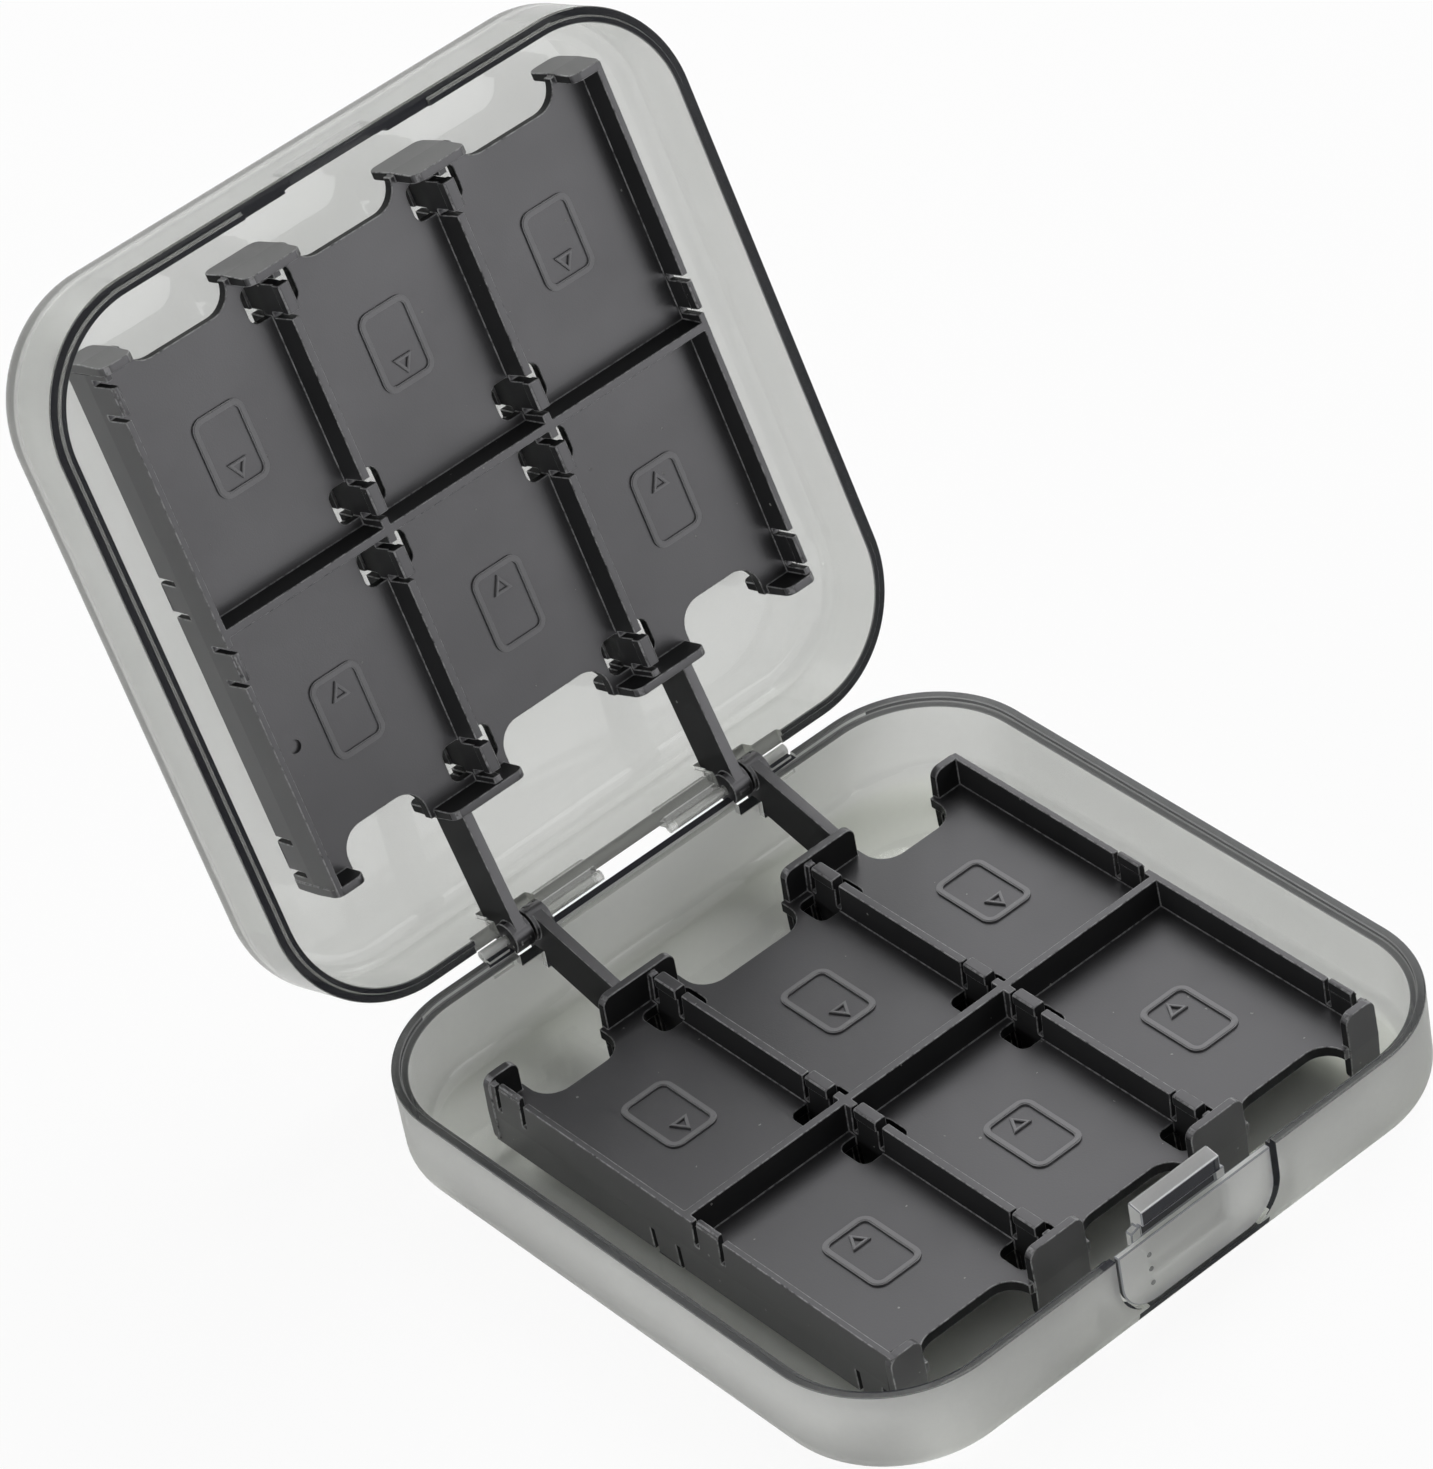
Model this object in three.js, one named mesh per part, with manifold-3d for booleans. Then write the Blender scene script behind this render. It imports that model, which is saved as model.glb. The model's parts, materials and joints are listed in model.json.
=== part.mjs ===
// Clamshell case for small game cards, drawn open.
// Two translucent shells and two double-sided card trays turn about one hinge line,
// and a rocking latch sits in the front wall of the base.
// Millimetres, +Z up, hinge line along X at the back (+Y), origin under the middle of the base.

import * as THREE from 'three';
import { mergeVertices } from 'three/addons/utils/BufferGeometryUtils.js';
import Module from 'manifold-3d';

const wasm = await Module();
wasm.setup();

// Pose, in degrees from closed
const lidOpenAngle = 110;

// Card slots, three along the hinge and two deep, on both faces of a tray
const slotWidth = 21.9;
const slotLength = 31.4;
const slotDepth = 3.7;

// Tray walls
const webThickness = 1.4;
const sideWall = 0.95;
const divider = 1.5;
const crossWall = 1.5;
const endPlate = 1.2;
const plateRise = 0.5;
const plateCorner = 1.2;
const cornerPlateWidth = 4.2;
const frontPlateWidth = 7.6;
const hingePlateInner = 3.4;
const hingePlateOuter = 7.0;

// Finger scoops in the web between the end plates
const hingeScoopDepth = 4.8;
const frontScoopDepth = 3.3;
const scoopCorner = 2.6;
const scoopMargin = 0.6;

// Spring fingers in the tray walls, with their heads and the windows beside them
const fingerLength = 3.5;
const fingerSlit = 0.7;
const fingerInset = 0.75;
const windowWidth = 2.6;
const windowLength = 4.4;
const windowInset = 1.0;
const headReach = 0.45;
const headDepth = 0.9;
const headRise = 0.5;

// Shells
const shellWall = 2.4;
const shellFloor = 1.6;
const cornerRadius = 15;
const edgeRadius = 4;
const insideEdgeRadius = 2.2;
const sideRoom = 6.6;
const frontRoom = 5.2;
const trayFloorGap = 0.4;
const trayGap = 0.4;
const rimGap = 0.3;
const lipWidth = 0.8;
const lipHeight = 0.5;
const lipClearance = 0.3;

// Hinge
const hingeOffset = 0.6;
const armReach = 14.9;
const armThickness = 2.0;
const armDepth = 6.0;
const armFlat = 3.2;
const armOffset = 4.6;
const eyeRadius = 2.0;
const eyeLength = 2.6;
const eyeGap = 0.4;
const knuckleRadius = 1.7;
const outerKnuckle = 3.2;
const innerKnuckle = 8.0;
const knuckleWeb = 2.6;
const knuckleWebBack = 0.2;
const pinRadius = 0.8;
const pinClearance = 0.2;
const pinDepth = 6.8;
const pinEndGap = 0.3;
const hingeClearance = 0.35;
const middleNotch = 0.6;

// Latch
const latchWidth = 22.0;
const latchHeight = 8.6;
const latchCorner = 4.0;
const latchSlit = 0.5;
const pivotDrop = 6.4;
const pivotRadius = 1.0;
const pivotReach = 1.8;
const pivotClearance = 0.3;
const bossWidth = 2.4;
const bossWall = 1.0;
const hookWidth = 12.0;
const hookRise = 4.3;
const stemThickness = 1.3;
const stemGap = 0.1;
const barbRise = 2.1;
const barbReach = 1.0;
const barbEdge = 0.5;
const catchClearance = 0.4;
const catchPadWidth = 6.6;
const gripDotRadius = 0.35;
const gripDotRise = 0.2;
const gripDotPitch = 2.0;
const gripDotPlace = -6.0;
const gripDotDrop = 4.3;

// Fineness of rounded forms
const shellSteps = 6;
const cornerSteps = 3;
const edgeSteps = 4;
const roundSides = 20;

// How far cutters run past what they cut, and joined pieces sink into each other
const overrun = 2;
const sunk = 0.5;

// Sizes that follow from the ones above
const columnPitch = slotWidth + divider;
const columnPlaces = [-columnPitch, 0, columnPitch];
const dividerPlaces = [-columnPitch / 2, columnPitch / 2];
const trayWidth = columnPlaces.length * slotWidth + dividerPlaces.length * divider + 2 * sideWall;
const trayLength = 2 * slotLength + crossWall + 2 * endPlate;
const wallHalf = webThickness / 2 + slotDepth;
const plateHalf = wallHalf + plateRise;
const caseWidth = trayWidth + 2 * (sideRoom + shellWall);
const caseDepth = armReach - hingeOffset + trayLength + frontRoom + shellWall;
const hingeHeight = shellFloor + trayFloorGap + 2 * plateHalf + trayGap / 2;

// Everything is drawn about the hinge line, at Y = 0 and Z = 0, lying ahead of it and below it
const rimLevel = -rimGap / 2;
const caseMiddle = -hingeOffset - caseDepth / 2;
const frontFace = -hingeOffset - caseDepth;
const frontInside = frontFace + shellWall;
const rearInside = -hingeOffset - shellWall;
const trayLevel = -trayGap / 2 - plateHalf;
const trayRear = -armReach;
const trayFront = -armReach - trayLength;
const trayMiddle = (trayRear + trayFront) / 2;
const rows = [
  { front: trayMiddle + crossWall / 2, rear: trayRear - endPlate },
  { front: trayFront + endPlate, rear: trayMiddle - crossWall / 2 },
];

// Places across the hinge. Both trays are one moulding, turned over for the upper one,
// so a tray's eyes sit half a pitch to one side of its arms' roots.
const armSpacing = columnPitch / 2 + armOffset;
const eyePitch = eyeLength + eyeGap;
const eyesStart = armSpacing - eyePitch / 2 - eyeLength / 2;
const eyesEnd = armSpacing + eyePitch / 2 + eyeLength / 2;
const innerKnuckleEnd = eyesStart - eyeGap;
const innerKnuckleStart = innerKnuckleEnd - innerKnuckle;
const outerKnuckleStart = eyesEnd + eyeGap;
const outerKnuckleEnd = outerKnuckleStart + outerKnuckle;
const boreRadius = pinRadius + pinClearance;

// Places of the latch in the front wall
const pivotY = frontInside + pivotRadius / 2;
const pivotZ = rimLevel - pivotDrop;
const pivotEnd = latchWidth / 2 + latchSlit + pivotReach;
const stemFront = frontInside + stemGap;
const stemRear = stemFront + stemThickness;
const barbFront = stemFront - barbReach;
const hookTop = rimLevel + hookRise;
const barbBottom = rimLevel + barbRise;

// A closed geometry as a solid that can be joined and cut
function solid(geometry) {
  geometry.deleteAttribute('normal');
  geometry.deleteAttribute('uv');
  const merged = mergeVertices(geometry);
  const vertProperties = new Float32Array(merged.attributes.position.array);
  const triVerts = new Uint32Array(merged.index.array);
  return new wasm.Manifold(new wasm.Mesh({ numProp: 3, vertProperties, triVerts }));
}

function join(first, ...others) {
  return others.reduce((sum, piece) => sum.add(piece), first);
}

function cut(first, ...others) {
  return others.reduce((rest, piece) => rest.subtract(piece), first);
}

function subPart(name, body, material) {
  const { vertProperties, triVerts } = body.getMesh();
  const geometry = new THREE.BufferGeometry();
  geometry.setAttribute('position', new THREE.BufferAttribute(vertProperties, 3));
  geometry.setIndex(new THREE.BufferAttribute(triVerts, 1));
  geometry.computeVertexNormals();
  const mesh = new THREE.Mesh(geometry, material);
  mesh.name = name;
  return mesh;
}

function block(x0, x1, y0, y1, z0, z1) {
  const geometry = new THREE.BoxGeometry(x1 - x0, y1 - y0, z1 - z0);
  geometry.translate((x0 + x1) / 2, (y0 + y1) / 2, (z0 + z1) / 2);
  return solid(geometry);
}

function rodAlongX(radius, x0, x1, y = 0, z = 0) {
  const geometry = new THREE.CylinderGeometry(radius, radius, x1 - x0, roundSides);
  geometry.rotateZ(Math.PI / 2);
  geometry.translate((x0 + x1) / 2, y, z);
  return solid(geometry);
}

function extrusion(shape, depth, steps) {
  return new THREE.ExtrudeGeometry(shape, { depth, bevelEnabled: false, curveSegments: steps });
}

// An outline in X and Y, from z0 up to z1
function slabAlongZ(shape, z0, z1, steps = cornerSteps) {
  const geometry = extrusion(shape, z1 - z0, steps);
  geometry.translate(0, 0, z0);
  return solid(geometry);
}

// An outline in X and Z, from y0 back to y1
function slabAlongY(shape, y0, y1) {
  const geometry = extrusion(shape, y1 - y0, cornerSteps);
  geometry.rotateX(Math.PI / 2);
  geometry.translate(0, y1, 0);
  return solid(geometry);
}

// An outline in Y and Z, from x0 to x1, leaning sideways by lean for each millimetre of Y
function slabAlongX(shape, x0, x1, lean = 0) {
  const geometry = extrusion(shape, x1 - x0, cornerSteps);
  geometry.rotateY(Math.PI / 2);
  geometry.rotateX(Math.PI / 2);
  geometry.translate(x0, 0, 0);
  geometry.applyMatrix4(new THREE.Matrix4().makeShear(0, 0, lean, 0, 0, 0));
  return solid(geometry);
}

function roundedRect(x0, x1, y0, y1, radius) {
  const shape = new THREE.Shape();
  shape.moveTo(x0 + radius, y0);
  shape.lineTo(x1 - radius, y0);
  shape.absarc(x1 - radius, y0 + radius, radius, -Math.PI / 2, 0);
  shape.lineTo(x1, y1 - radius);
  shape.absarc(x1 - radius, y1 - radius, radius, 0, Math.PI / 2);
  shape.lineTo(x0 + radius, y1);
  shape.absarc(x0 + radius, y1 - radius, radius, Math.PI / 2, Math.PI);
  shape.lineTo(x0, y0 + radius);
  shape.absarc(x0 + radius, y0 + radius, radius, Math.PI, 1.5 * Math.PI);
  return shape;
}

// Makes a piece on the right of the hinge's middle and its mirror on the left
function bothSides(near, far, make) {
  return [make(near, far), make(-far, -near)];
}

// The case's outline, moved inward by inset
function caseOutline(inset) {
  const x = caseWidth / 2 - inset;
  const y = caseDepth / 2 - inset;
  return roundedRect(-x, x, caseMiddle - y, caseMiddle + y, cornerRadius - inset);
}

// A dish with a rounded lower edge, from its bottom up past the rim
function dish(inset, bottom, radius) {
  const geometry = new THREE.ExtrudeGeometry(caseOutline(inset), {
    depth: hingeHeight,
    bevelThickness: radius,
    bevelSize: radius,
    bevelOffset: -radius,
    bevelSegments: edgeSteps,
    curveSegments: shellSteps,
  });
  geometry.translate(0, 0, bottom + radius);
  return solid(geometry);
}

// Base and lid start alike: a dish, hollowed, with its rim cut level below the hinge line
function shellBlank() {
  const outside = dish(0, -hingeHeight, edgeRadius);
  const inside = dish(shellWall, -hingeHeight + shellFloor, insideEdgeRadius);
  const reach = caseWidth + caseDepth;
  const aboveRim = block(-reach, reach, -reach, reach, rimLevel, rimLevel + reach);
  return cut(outside, inside, aboveRim);
}

// Room in a rear wall for both trays' eyes and arms
function eyeNotches() {
  const depth = eyeRadius + hingeClearance;
  return bothSides(eyesStart - hingeClearance, eyesEnd + hingeClearance, (x0, x1) =>
    block(x0, x1, rearInside - overrun, overrun, -depth, depth));
}

// Room in a rear wall for the other shell's knuckles
function knuckleReliefs(near, far) {
  return bothSides(near - hingeClearance, far + hingeClearance, (x0, x1) =>
    rodAlongX(knuckleRadius + hingeClearance, x0, x1));
}

// The rear wall is lower between the knuckles
function middleRelief() {
  return block(-innerKnuckleEnd, innerKnuckleEnd, rearInside - overrun, overrun, -middleNotch, overrun);
}

// Knuckles, each with a web down to the rear wall, before their bores
function knuckles(near, far) {
  return bothSides(near, far, (x0, x1) => join(
    rodAlongX(knuckleRadius, x0, x1),
    block(x0, x1, -hingeOffset - shellWall / 2, knuckleWebBack, -knuckleWeb, 0),
  ));
}

function pinBores(near, far) {
  return bothSides(near, far, (x0, x1) => rodAlongX(boreRadius, x0, x1));
}

// The latch panel's outline in the front wall, moved outward by grow and up to top
function latchOutline(grow, top) {
  const x = latchWidth / 2 + grow;
  const bottom = rimLevel - latchHeight - grow;
  const radius = latchCorner + grow;
  const shape = new THREE.Shape();
  shape.moveTo(-x + radius, bottom);
  shape.lineTo(x - radius, bottom);
  shape.absarc(x - radius, bottom + radius, radius, -Math.PI / 2, 0);
  shape.lineTo(x, top);
  shape.lineTo(-x, top);
  shape.lineTo(-x, bottom + radius);
  shape.absarc(-x + radius, bottom + radius, radius, Math.PI, 1.5 * Math.PI);
  return shape;
}

// Blocks behind the front wall that carry the latch's pivot
function latchBosses() {
  const near = latchWidth / 2 + latchSlit;
  const reach = pivotRadius + pivotClearance + bossWall;
  return bothSides(near, near + bossWidth, (x0, x1) =>
    block(x0, x1, frontInside - sunk, pivotY + reach, -hingeHeight + shellFloor - sunk, pivotZ + reach));
}

function baseShell() {
  const rebateBottom = rimLevel + rimGap - lipHeight - 2 * lipClearance;
  const rebate = slabAlongZ(
    caseOutline(shellWall - lipWidth - lipClearance), rebateBottom, rimLevel + overrun, shellSteps);
  const latchOpening = slabAlongY(
    latchOutline(latchSlit, rimLevel + overrun), frontFace - overrun, frontInside + overrun);
  const pivotBore = rodAlongX(
    pivotRadius + pivotClearance, -pivotEnd - pinEndGap, pivotEnd + pinEndGap, pivotY, pivotZ);
  const shell = cut(
    shellBlank(),
    rebate,
    latchOpening,
    middleRelief(),
    ...eyeNotches(),
    ...knuckleReliefs(innerKnuckleStart, innerKnuckleEnd),
  );
  return cut(
    join(shell, ...knuckles(outerKnuckleStart, outerKnuckleEnd), ...latchBosses()),
    pivotBore,
    ...pinBores(outerKnuckleStart - overrun, outerKnuckleEnd + overrun),
  );
}

// The lid's lip drops into the base's rebate, and stops short of the hinge and the catch
function lidLip(catchHalf) {
  const top = rimLevel + lipHeight;
  const hingeHalf = outerKnuckleEnd + hingeClearance;
  const padHalf = catchHalf + catchPadWidth;
  const inside = frontInside + overrun;
  return cut(
    slabAlongZ(caseOutline(shellWall - lipWidth), rimLevel - sunk, top, shellSteps),
    slabAlongZ(caseOutline(shellWall), rimLevel - overrun, top + overrun, shellSteps),
    block(-hingeHalf, hingeHalf, rearInside - overrun, overrun, rimLevel, top + overrun),
    block(-padHalf, padHalf, frontFace - overrun, inside, rimLevel, top + overrun),
  );
}

// The lid is drawn lying on its back, like the base, and turned over where it is placed,
// so the hook's heights above the base's rim are depths below the lid's rim
function lidShell() {
  const catchHalf = hookWidth / 2 + catchClearance;
  const inside = frontInside + overrun;
  const hookEntry = block(-catchHalf, catchHalf, stemFront - catchClearance, inside, -barbBottom, overrun);
  const hookPocket = block(
    -catchHalf, catchHalf,
    barbFront - catchClearance, inside,
    -hookTop - catchClearance, -barbBottom + catchClearance,
  );
  const shell = cut(
    join(shellBlank(), lidLip(catchHalf)),
    hookEntry,
    hookPocket,
    middleRelief(),
    ...eyeNotches(),
    ...knuckleReliefs(outerKnuckleStart, outerKnuckleEnd),
  );
  return cut(
    join(shell, ...knuckles(innerKnuckleStart, innerKnuckleEnd)),
    ...pinBores(innerKnuckleEnd - pinDepth - pinEndGap, innerKnuckleEnd + overrun),
  );
}

function hingePins() {
  return bothSides(innerKnuckleEnd - pinDepth, outerKnuckleEnd - pinEndGap, (x0, x1) =>
    rodAlongX(pinRadius, x0, x1));
}

// Hook and stem in side view: the barb faces forward, with a sloping lead-in above it
function hookOutline() {
  const round = stemThickness / 2;
  const shape = new THREE.Shape();
  shape.moveTo(stemRear, pivotZ);
  shape.lineTo(stemRear, hookTop - round);
  shape.quadraticCurveTo(stemRear, hookTop, stemRear - round, hookTop);
  shape.lineTo(stemFront, hookTop);
  shape.lineTo(barbFront, barbBottom + barbEdge);
  shape.lineTo(barbFront, barbBottom);
  shape.lineTo(stemFront, barbBottom);
  shape.lineTo(stemFront, rimLevel);
  shape.lineTo(frontInside - sunk, rimLevel - sunk);
  shape.lineTo(frontInside - sunk, pivotZ);
  return shape;
}

function latch() {
  const panel = slabAlongY(latchOutline(0, rimLevel), frontFace, frontInside);
  const pivot = rodAlongX(pivotRadius, -pivotEnd, pivotEnd, pivotY, pivotZ);
  const hook = slabAlongX(hookOutline(), -hookWidth / 2, hookWidth / 2);
  const gripDots = [-1, 0, 1].map((step) => {
    const length = gripDotRise + sunk;
    const dot = new THREE.CylinderGeometry(gripDotRadius, gripDotRadius, length, roundSides / 2);
    dot.translate(gripDotPlace, frontFace - gripDotRise + length / 2, rimLevel - gripDotDrop + step * gripDotPitch);
    return solid(dot);
  });
  return join(panel, pivot, hook, ...gripDots);
}

// A bite out of the web's edge between two end plates, open towards +Y or -Y
function scoop(x0, x1, edge, depth, direction) {
  const inner = edge - direction * depth;
  const outer = edge + direction * overrun;
  const bend = inner + direction * scoopCorner;
  const shape = new THREE.Shape();
  shape.moveTo(x0, outer);
  shape.lineTo(x1, outer);
  shape.lineTo(x1, bend);
  shape.quadraticCurveTo(x1, inner, x1 - scoopCorner, inner);
  shape.lineTo(x0 + scoopCorner, inner);
  shape.quadraticCurveTo(x0, inner, x0, bend);
  return slabAlongZ(shape, trayLevel - webThickness, trayLevel + webThickness);
}

// Three scoops along one edge; inward and outward are the reaches of the plates on the dividers
function scoopRow(inward, outward, edge, depth, direction) {
  const corner = trayWidth / 2 - cornerPlateWidth;
  const spans = [
    [-corner, dividerPlaces[0] - outward],
    [dividerPlaces[0] + inward, dividerPlaces[1] - inward],
    [dividerPlaces[1] + outward, corner],
  ];
  return spans.map(([x0, x1]) => scoop(x0 + scoopMargin, x1 - scoopMargin, edge, depth, direction));
}

// An upright end plate with rounded corners, reaching above and below the web's middle
function uprightPlate(x0, x1, y0, above, below) {
  const outline = roundedRect(x0, x1, trayLevel - below, trayLevel + above, plateCorner);
  return slabAlongY(outline, y0, y0 + endPlate);
}

// A corner plate stands proud on the face where a spring finger parts it from the side wall
function endPlates() {
  const rear = trayRear - endPlate;
  const side = trayWidth / 2;
  const corner = side - cornerPlateWidth;
  const half = frontPlateWidth / 2;
  const outerDivider = columnPitch / 2;
  return [
    ...bothSides(outerDivider - hingePlateInner, outerDivider + hingePlateOuter, (x0, x1) =>
      uprightPlate(x0, x1, rear, plateHalf, plateHalf)),
    ...bothSides(outerDivider - half, outerDivider + half, (x0, x1) =>
      uprightPlate(x0, x1, trayFront, plateHalf, plateHalf)),
    uprightPlate(-side, -corner, rear, plateHalf, wallHalf),
    uprightPlate(corner, side, rear, wallHalf, plateHalf),
    uprightPlate(-side, -corner, trayFront, wallHalf, plateHalf),
    uprightPlate(corner, side, trayFront, plateHalf, wallHalf),
  ];
}

// Two slits that free a spring finger in the wall from x0 to x1.
// end is 1 at the row's hinge end and -1 at its front end, face is 1 on top and -1 underneath.
function fingerSlits(x0, x1, row, end, face) {
  const start = end > 0 ? row.rear : row.front;
  const reach = [webThickness / 2, plateHalf + overrun];
  const z = reach.map((height) => trayLevel + face * height);
  const places = [fingerInset, fingerInset + fingerSlit + fingerLength];
  return places.map((place) => {
    const y = [start - end * place, start - end * (place + fingerSlit)];
    return block(x0, x1, Math.min(...y), Math.max(...y), Math.min(...z), Math.max(...z));
  });
}

// The head of a finger stands above its wall and reaches over the slot's edge to hold the card in.
// side is 1 on a slot's right wall and -1 on its left one.
function fingerHead(x, side, thickness, row, end, face) {
  const start = end > 0 ? row.rear : row.front;
  const wall = x + side * slotWidth / 2;
  const places = [fingerInset + fingerSlit, fingerInset + fingerSlit + fingerLength];
  const xs = [wall - side * headReach, wall + side * thickness];
  const ys = places.map((place) => start - end * place);
  const zs = [wallHalf - headDepth, wallHalf + headRise].map((height) => trayLevel + face * height);
  return block(
    Math.min(...xs), Math.max(...xs), Math.min(...ys), Math.max(...ys), Math.min(...zs), Math.max(...zs));
}

// Windows through the web in the corners of a slot, beside the walls
function slotWindows(x, row) {
  const high = trayLevel + webThickness;
  const low = trayLevel - webThickness;
  const spans = [
    [row.front + windowInset, row.front + windowInset + windowLength],
    [row.rear - windowInset - windowLength, row.rear - windowInset],
  ];
  const near = x + slotWidth / 2 - windowWidth;
  const far = x + slotWidth / 2;
  return spans.flatMap(([y0, y1]) => [
    block(near, far, y0, y1, low, high),
    block(2 * x - far, 2 * x - near, y0, y1, low, high),
  ]);
}

// Arm from an end plate to its eye, leaning aside so that the two trays' eyes pass each other
function arm(root) {
  const top = -trayGap / 2;
  const bottom = top - armDepth;
  const rootY = trayRear - endPlate / 2;
  const shape = new THREE.Shape();
  shape.moveTo(0, top);
  shape.lineTo(0, -eyeRadius);
  shape.lineTo(-armFlat, -eyeRadius);
  shape.lineTo(trayRear, bottom);
  shape.lineTo(rootY, bottom);
  shape.lineTo(rootY, top);
  const eye = root + eyePitch / 2;
  return join(
    slabAlongX(shape, eye - armThickness / 2, eye + armThickness / 2, eyePitch / 2 / armReach),
    rodAlongX(eyeRadius, eye - eyeLength / 2, eye + eyeLength / 2),
  );
}

// Side walls carry fingers at one end of each slot on the top face and at the other end
// underneath, and the dividers carry them at both ends on both faces
function tray() {
  const side = trayWidth / 2;
  const low = trayLevel - wallHalf;
  const high = trayLevel + wallHalf;
  const half = webThickness / 2;
  const web = cut(
    block(-side, side, trayFront, trayRear, trayLevel - half, trayLevel + half),
    ...scoopRow(hingePlateInner, hingePlateOuter, trayRear, hingeScoopDepth, 1),
    ...scoopRow(frontPlateWidth / 2, frontPlateWidth / 2, trayFront, frontScoopDepth, -1),
    ...columnPlaces.flatMap((x) => rows.flatMap((row) => slotWindows(x, row))),
  );
  const walls = [
    ...bothSides(side - sideWall, side, (x0, x1) => block(x0, x1, trayFront, trayRear, low, high)),
    block(-side, side, trayMiddle - crossWall / 2, trayMiddle + crossWall / 2, low, high),
    ...dividerPlaces.map((x) => block(x - divider / 2, x + divider / 2, trayFront, trayRear, low, high)),
  ];
  const slits = rows.flatMap((row) => [1, -1].flatMap((face) => [
    ...fingerSlits(-side - sunk, -side + sideWall, row, face, face),
    ...fingerSlits(side - sideWall, side + sunk, row, -face, face),
    ...dividerPlaces.flatMap((x) => [1, -1].flatMap((end) =>
      fingerSlits(x - divider / 2, x + divider / 2, row, end, face))),
  ]));
  const lastColumn = columnPlaces.length - 1;
  const heads = rows.flatMap((row) => columnPlaces.flatMap((x, column) => [1, -1].flatMap((face) => [
    fingerHead(x, -1, column === 0 ? sideWall : divider, row, face, face),
    fingerHead(x, 1, column === lastColumn ? sideWall : divider, row, -face, face),
  ])));
  const walled = cut(join(web, ...walls), ...slits);
  const arms = [arm(-armSpacing), arm(armSpacing)];
  const eyeBores = [-armSpacing, armSpacing].map((root) =>
    rodAlongX(boreRadius, root + eyePitch / 2 - eyeLength, root + eyePitch / 2 + eyeLength));
  return cut(join(walled, ...endPlates(), ...heads, ...arms), ...eyeBores);
}

function smokePlastic() {
  return new THREE.MeshStandardMaterial({
    color: 0xaeb2ab,
    roughness: 0.18,
    metalness: 0,
    transparent: true,
    opacity: 0.55,
  });
}

function blackPlastic() {
  return new THREE.MeshStandardMaterial({ color: 0x2b2b2e, roughness: 0.5, metalness: 0 });
}

// What opens with the lid hangs in one group, turned about the hinge line
function openHalf() {
  const lidMesh = subPart('lid_shell', lidShell(), smokePlastic());
  const trayMesh = subPart('upper_tray', tray(), blackPlastic());
  lidMesh.rotation.y = Math.PI;
  trayMesh.rotation.y = Math.PI;
  const half = new THREE.Group();
  half.rotation.x = -THREE.MathUtils.degToRad(lidOpenAngle);
  half.add(lidMesh, trayMesh);
  return half;
}

function standingHalf() {
  const [rightPin, leftPin] = hingePins();
  const half = new THREE.Group();
  half.add(
    subPart('base_shell', baseShell(), smokePlastic()),
    subPart('lower_tray', tray(), blackPlastic()),
    subPart('latch', latch(), smokePlastic()),
    subPart('hinge_pin_left', leftPin, smokePlastic()),
    subPart('hinge_pin_right', rightPin, smokePlastic()),
  );
  return half;
}

const cardCase = new THREE.Group();
cardCase.position.set(0, -caseMiddle, hingeHeight);
cardCase.add(standingHalf(), openHalf());

const model = new THREE.Group();
model.add(cardCase);

export default model;
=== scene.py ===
import json
import math

import bmesh
import bpy
from mathutils import Matrix, Vector


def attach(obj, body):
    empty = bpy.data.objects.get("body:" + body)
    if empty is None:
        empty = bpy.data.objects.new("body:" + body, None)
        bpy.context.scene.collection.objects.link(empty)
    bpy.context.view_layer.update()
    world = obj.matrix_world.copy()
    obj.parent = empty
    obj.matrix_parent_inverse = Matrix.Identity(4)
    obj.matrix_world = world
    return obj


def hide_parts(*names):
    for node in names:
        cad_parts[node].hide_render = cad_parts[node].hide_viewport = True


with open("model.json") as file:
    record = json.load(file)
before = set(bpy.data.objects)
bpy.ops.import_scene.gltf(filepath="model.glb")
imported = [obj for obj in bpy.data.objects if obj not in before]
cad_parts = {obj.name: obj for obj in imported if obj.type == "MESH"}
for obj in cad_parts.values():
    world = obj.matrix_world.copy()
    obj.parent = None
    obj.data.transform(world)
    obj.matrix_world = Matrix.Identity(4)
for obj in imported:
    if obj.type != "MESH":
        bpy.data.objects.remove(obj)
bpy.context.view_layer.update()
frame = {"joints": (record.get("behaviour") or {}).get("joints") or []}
openJoint = next(joint for joint in frame["joints"] if joint["name"] == "case_open")
hingePoint = Vector(openJoint["pos_m"])
print("frame loaded, hinge line at", tuple(hingePoint))

# every piece is modelled lying down, in millimetres about the hinge line, then put in its place
placing = {"millimetre": 0.001, "openAngle": 110.0}

# how meshes are cleaned up, rounded and shaded
tidying = {
    "mergeGap": 0.004,
    "flatAngle": 0.6,              # degrees, here and below
    "sharpAngle": 38.0,
    "smoothAngle": 32.0,
}


def deselectAll():
    if bpy.context.mode != "OBJECT":
        bpy.ops.object.mode_set(mode="OBJECT")
    bpy.ops.object.select_all(action="DESELECT")


def activate(piece):
    deselectAll()
    piece.select_set(True)
    bpy.context.view_layer.objects.active = piece


def addBlock(low, high):
    deselectAll()
    middle = [(a + b) / 2 for a, b in zip(low, high)]
    size = [b - a for a, b in zip(low, high)]
    bpy.ops.mesh.primitive_cube_add(size=1, location=middle, scale=size)
    bpy.ops.object.transform_apply(location=True, rotation=True, scale=True)
    return bpy.context.object


def addRod(radius, x0, x1, y=0.0, z=0.0, sides=48):
    deselectAll()
    bpy.ops.mesh.primitive_cylinder_add(
        vertices=sides, radius=radius, depth=x1 - x0,
        location=((x0 + x1) / 2, y, z), rotation=(0, math.pi / 2, 0))
    bpy.ops.object.transform_apply(location=True, rotation=True, scale=True)
    return bpy.context.object


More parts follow.
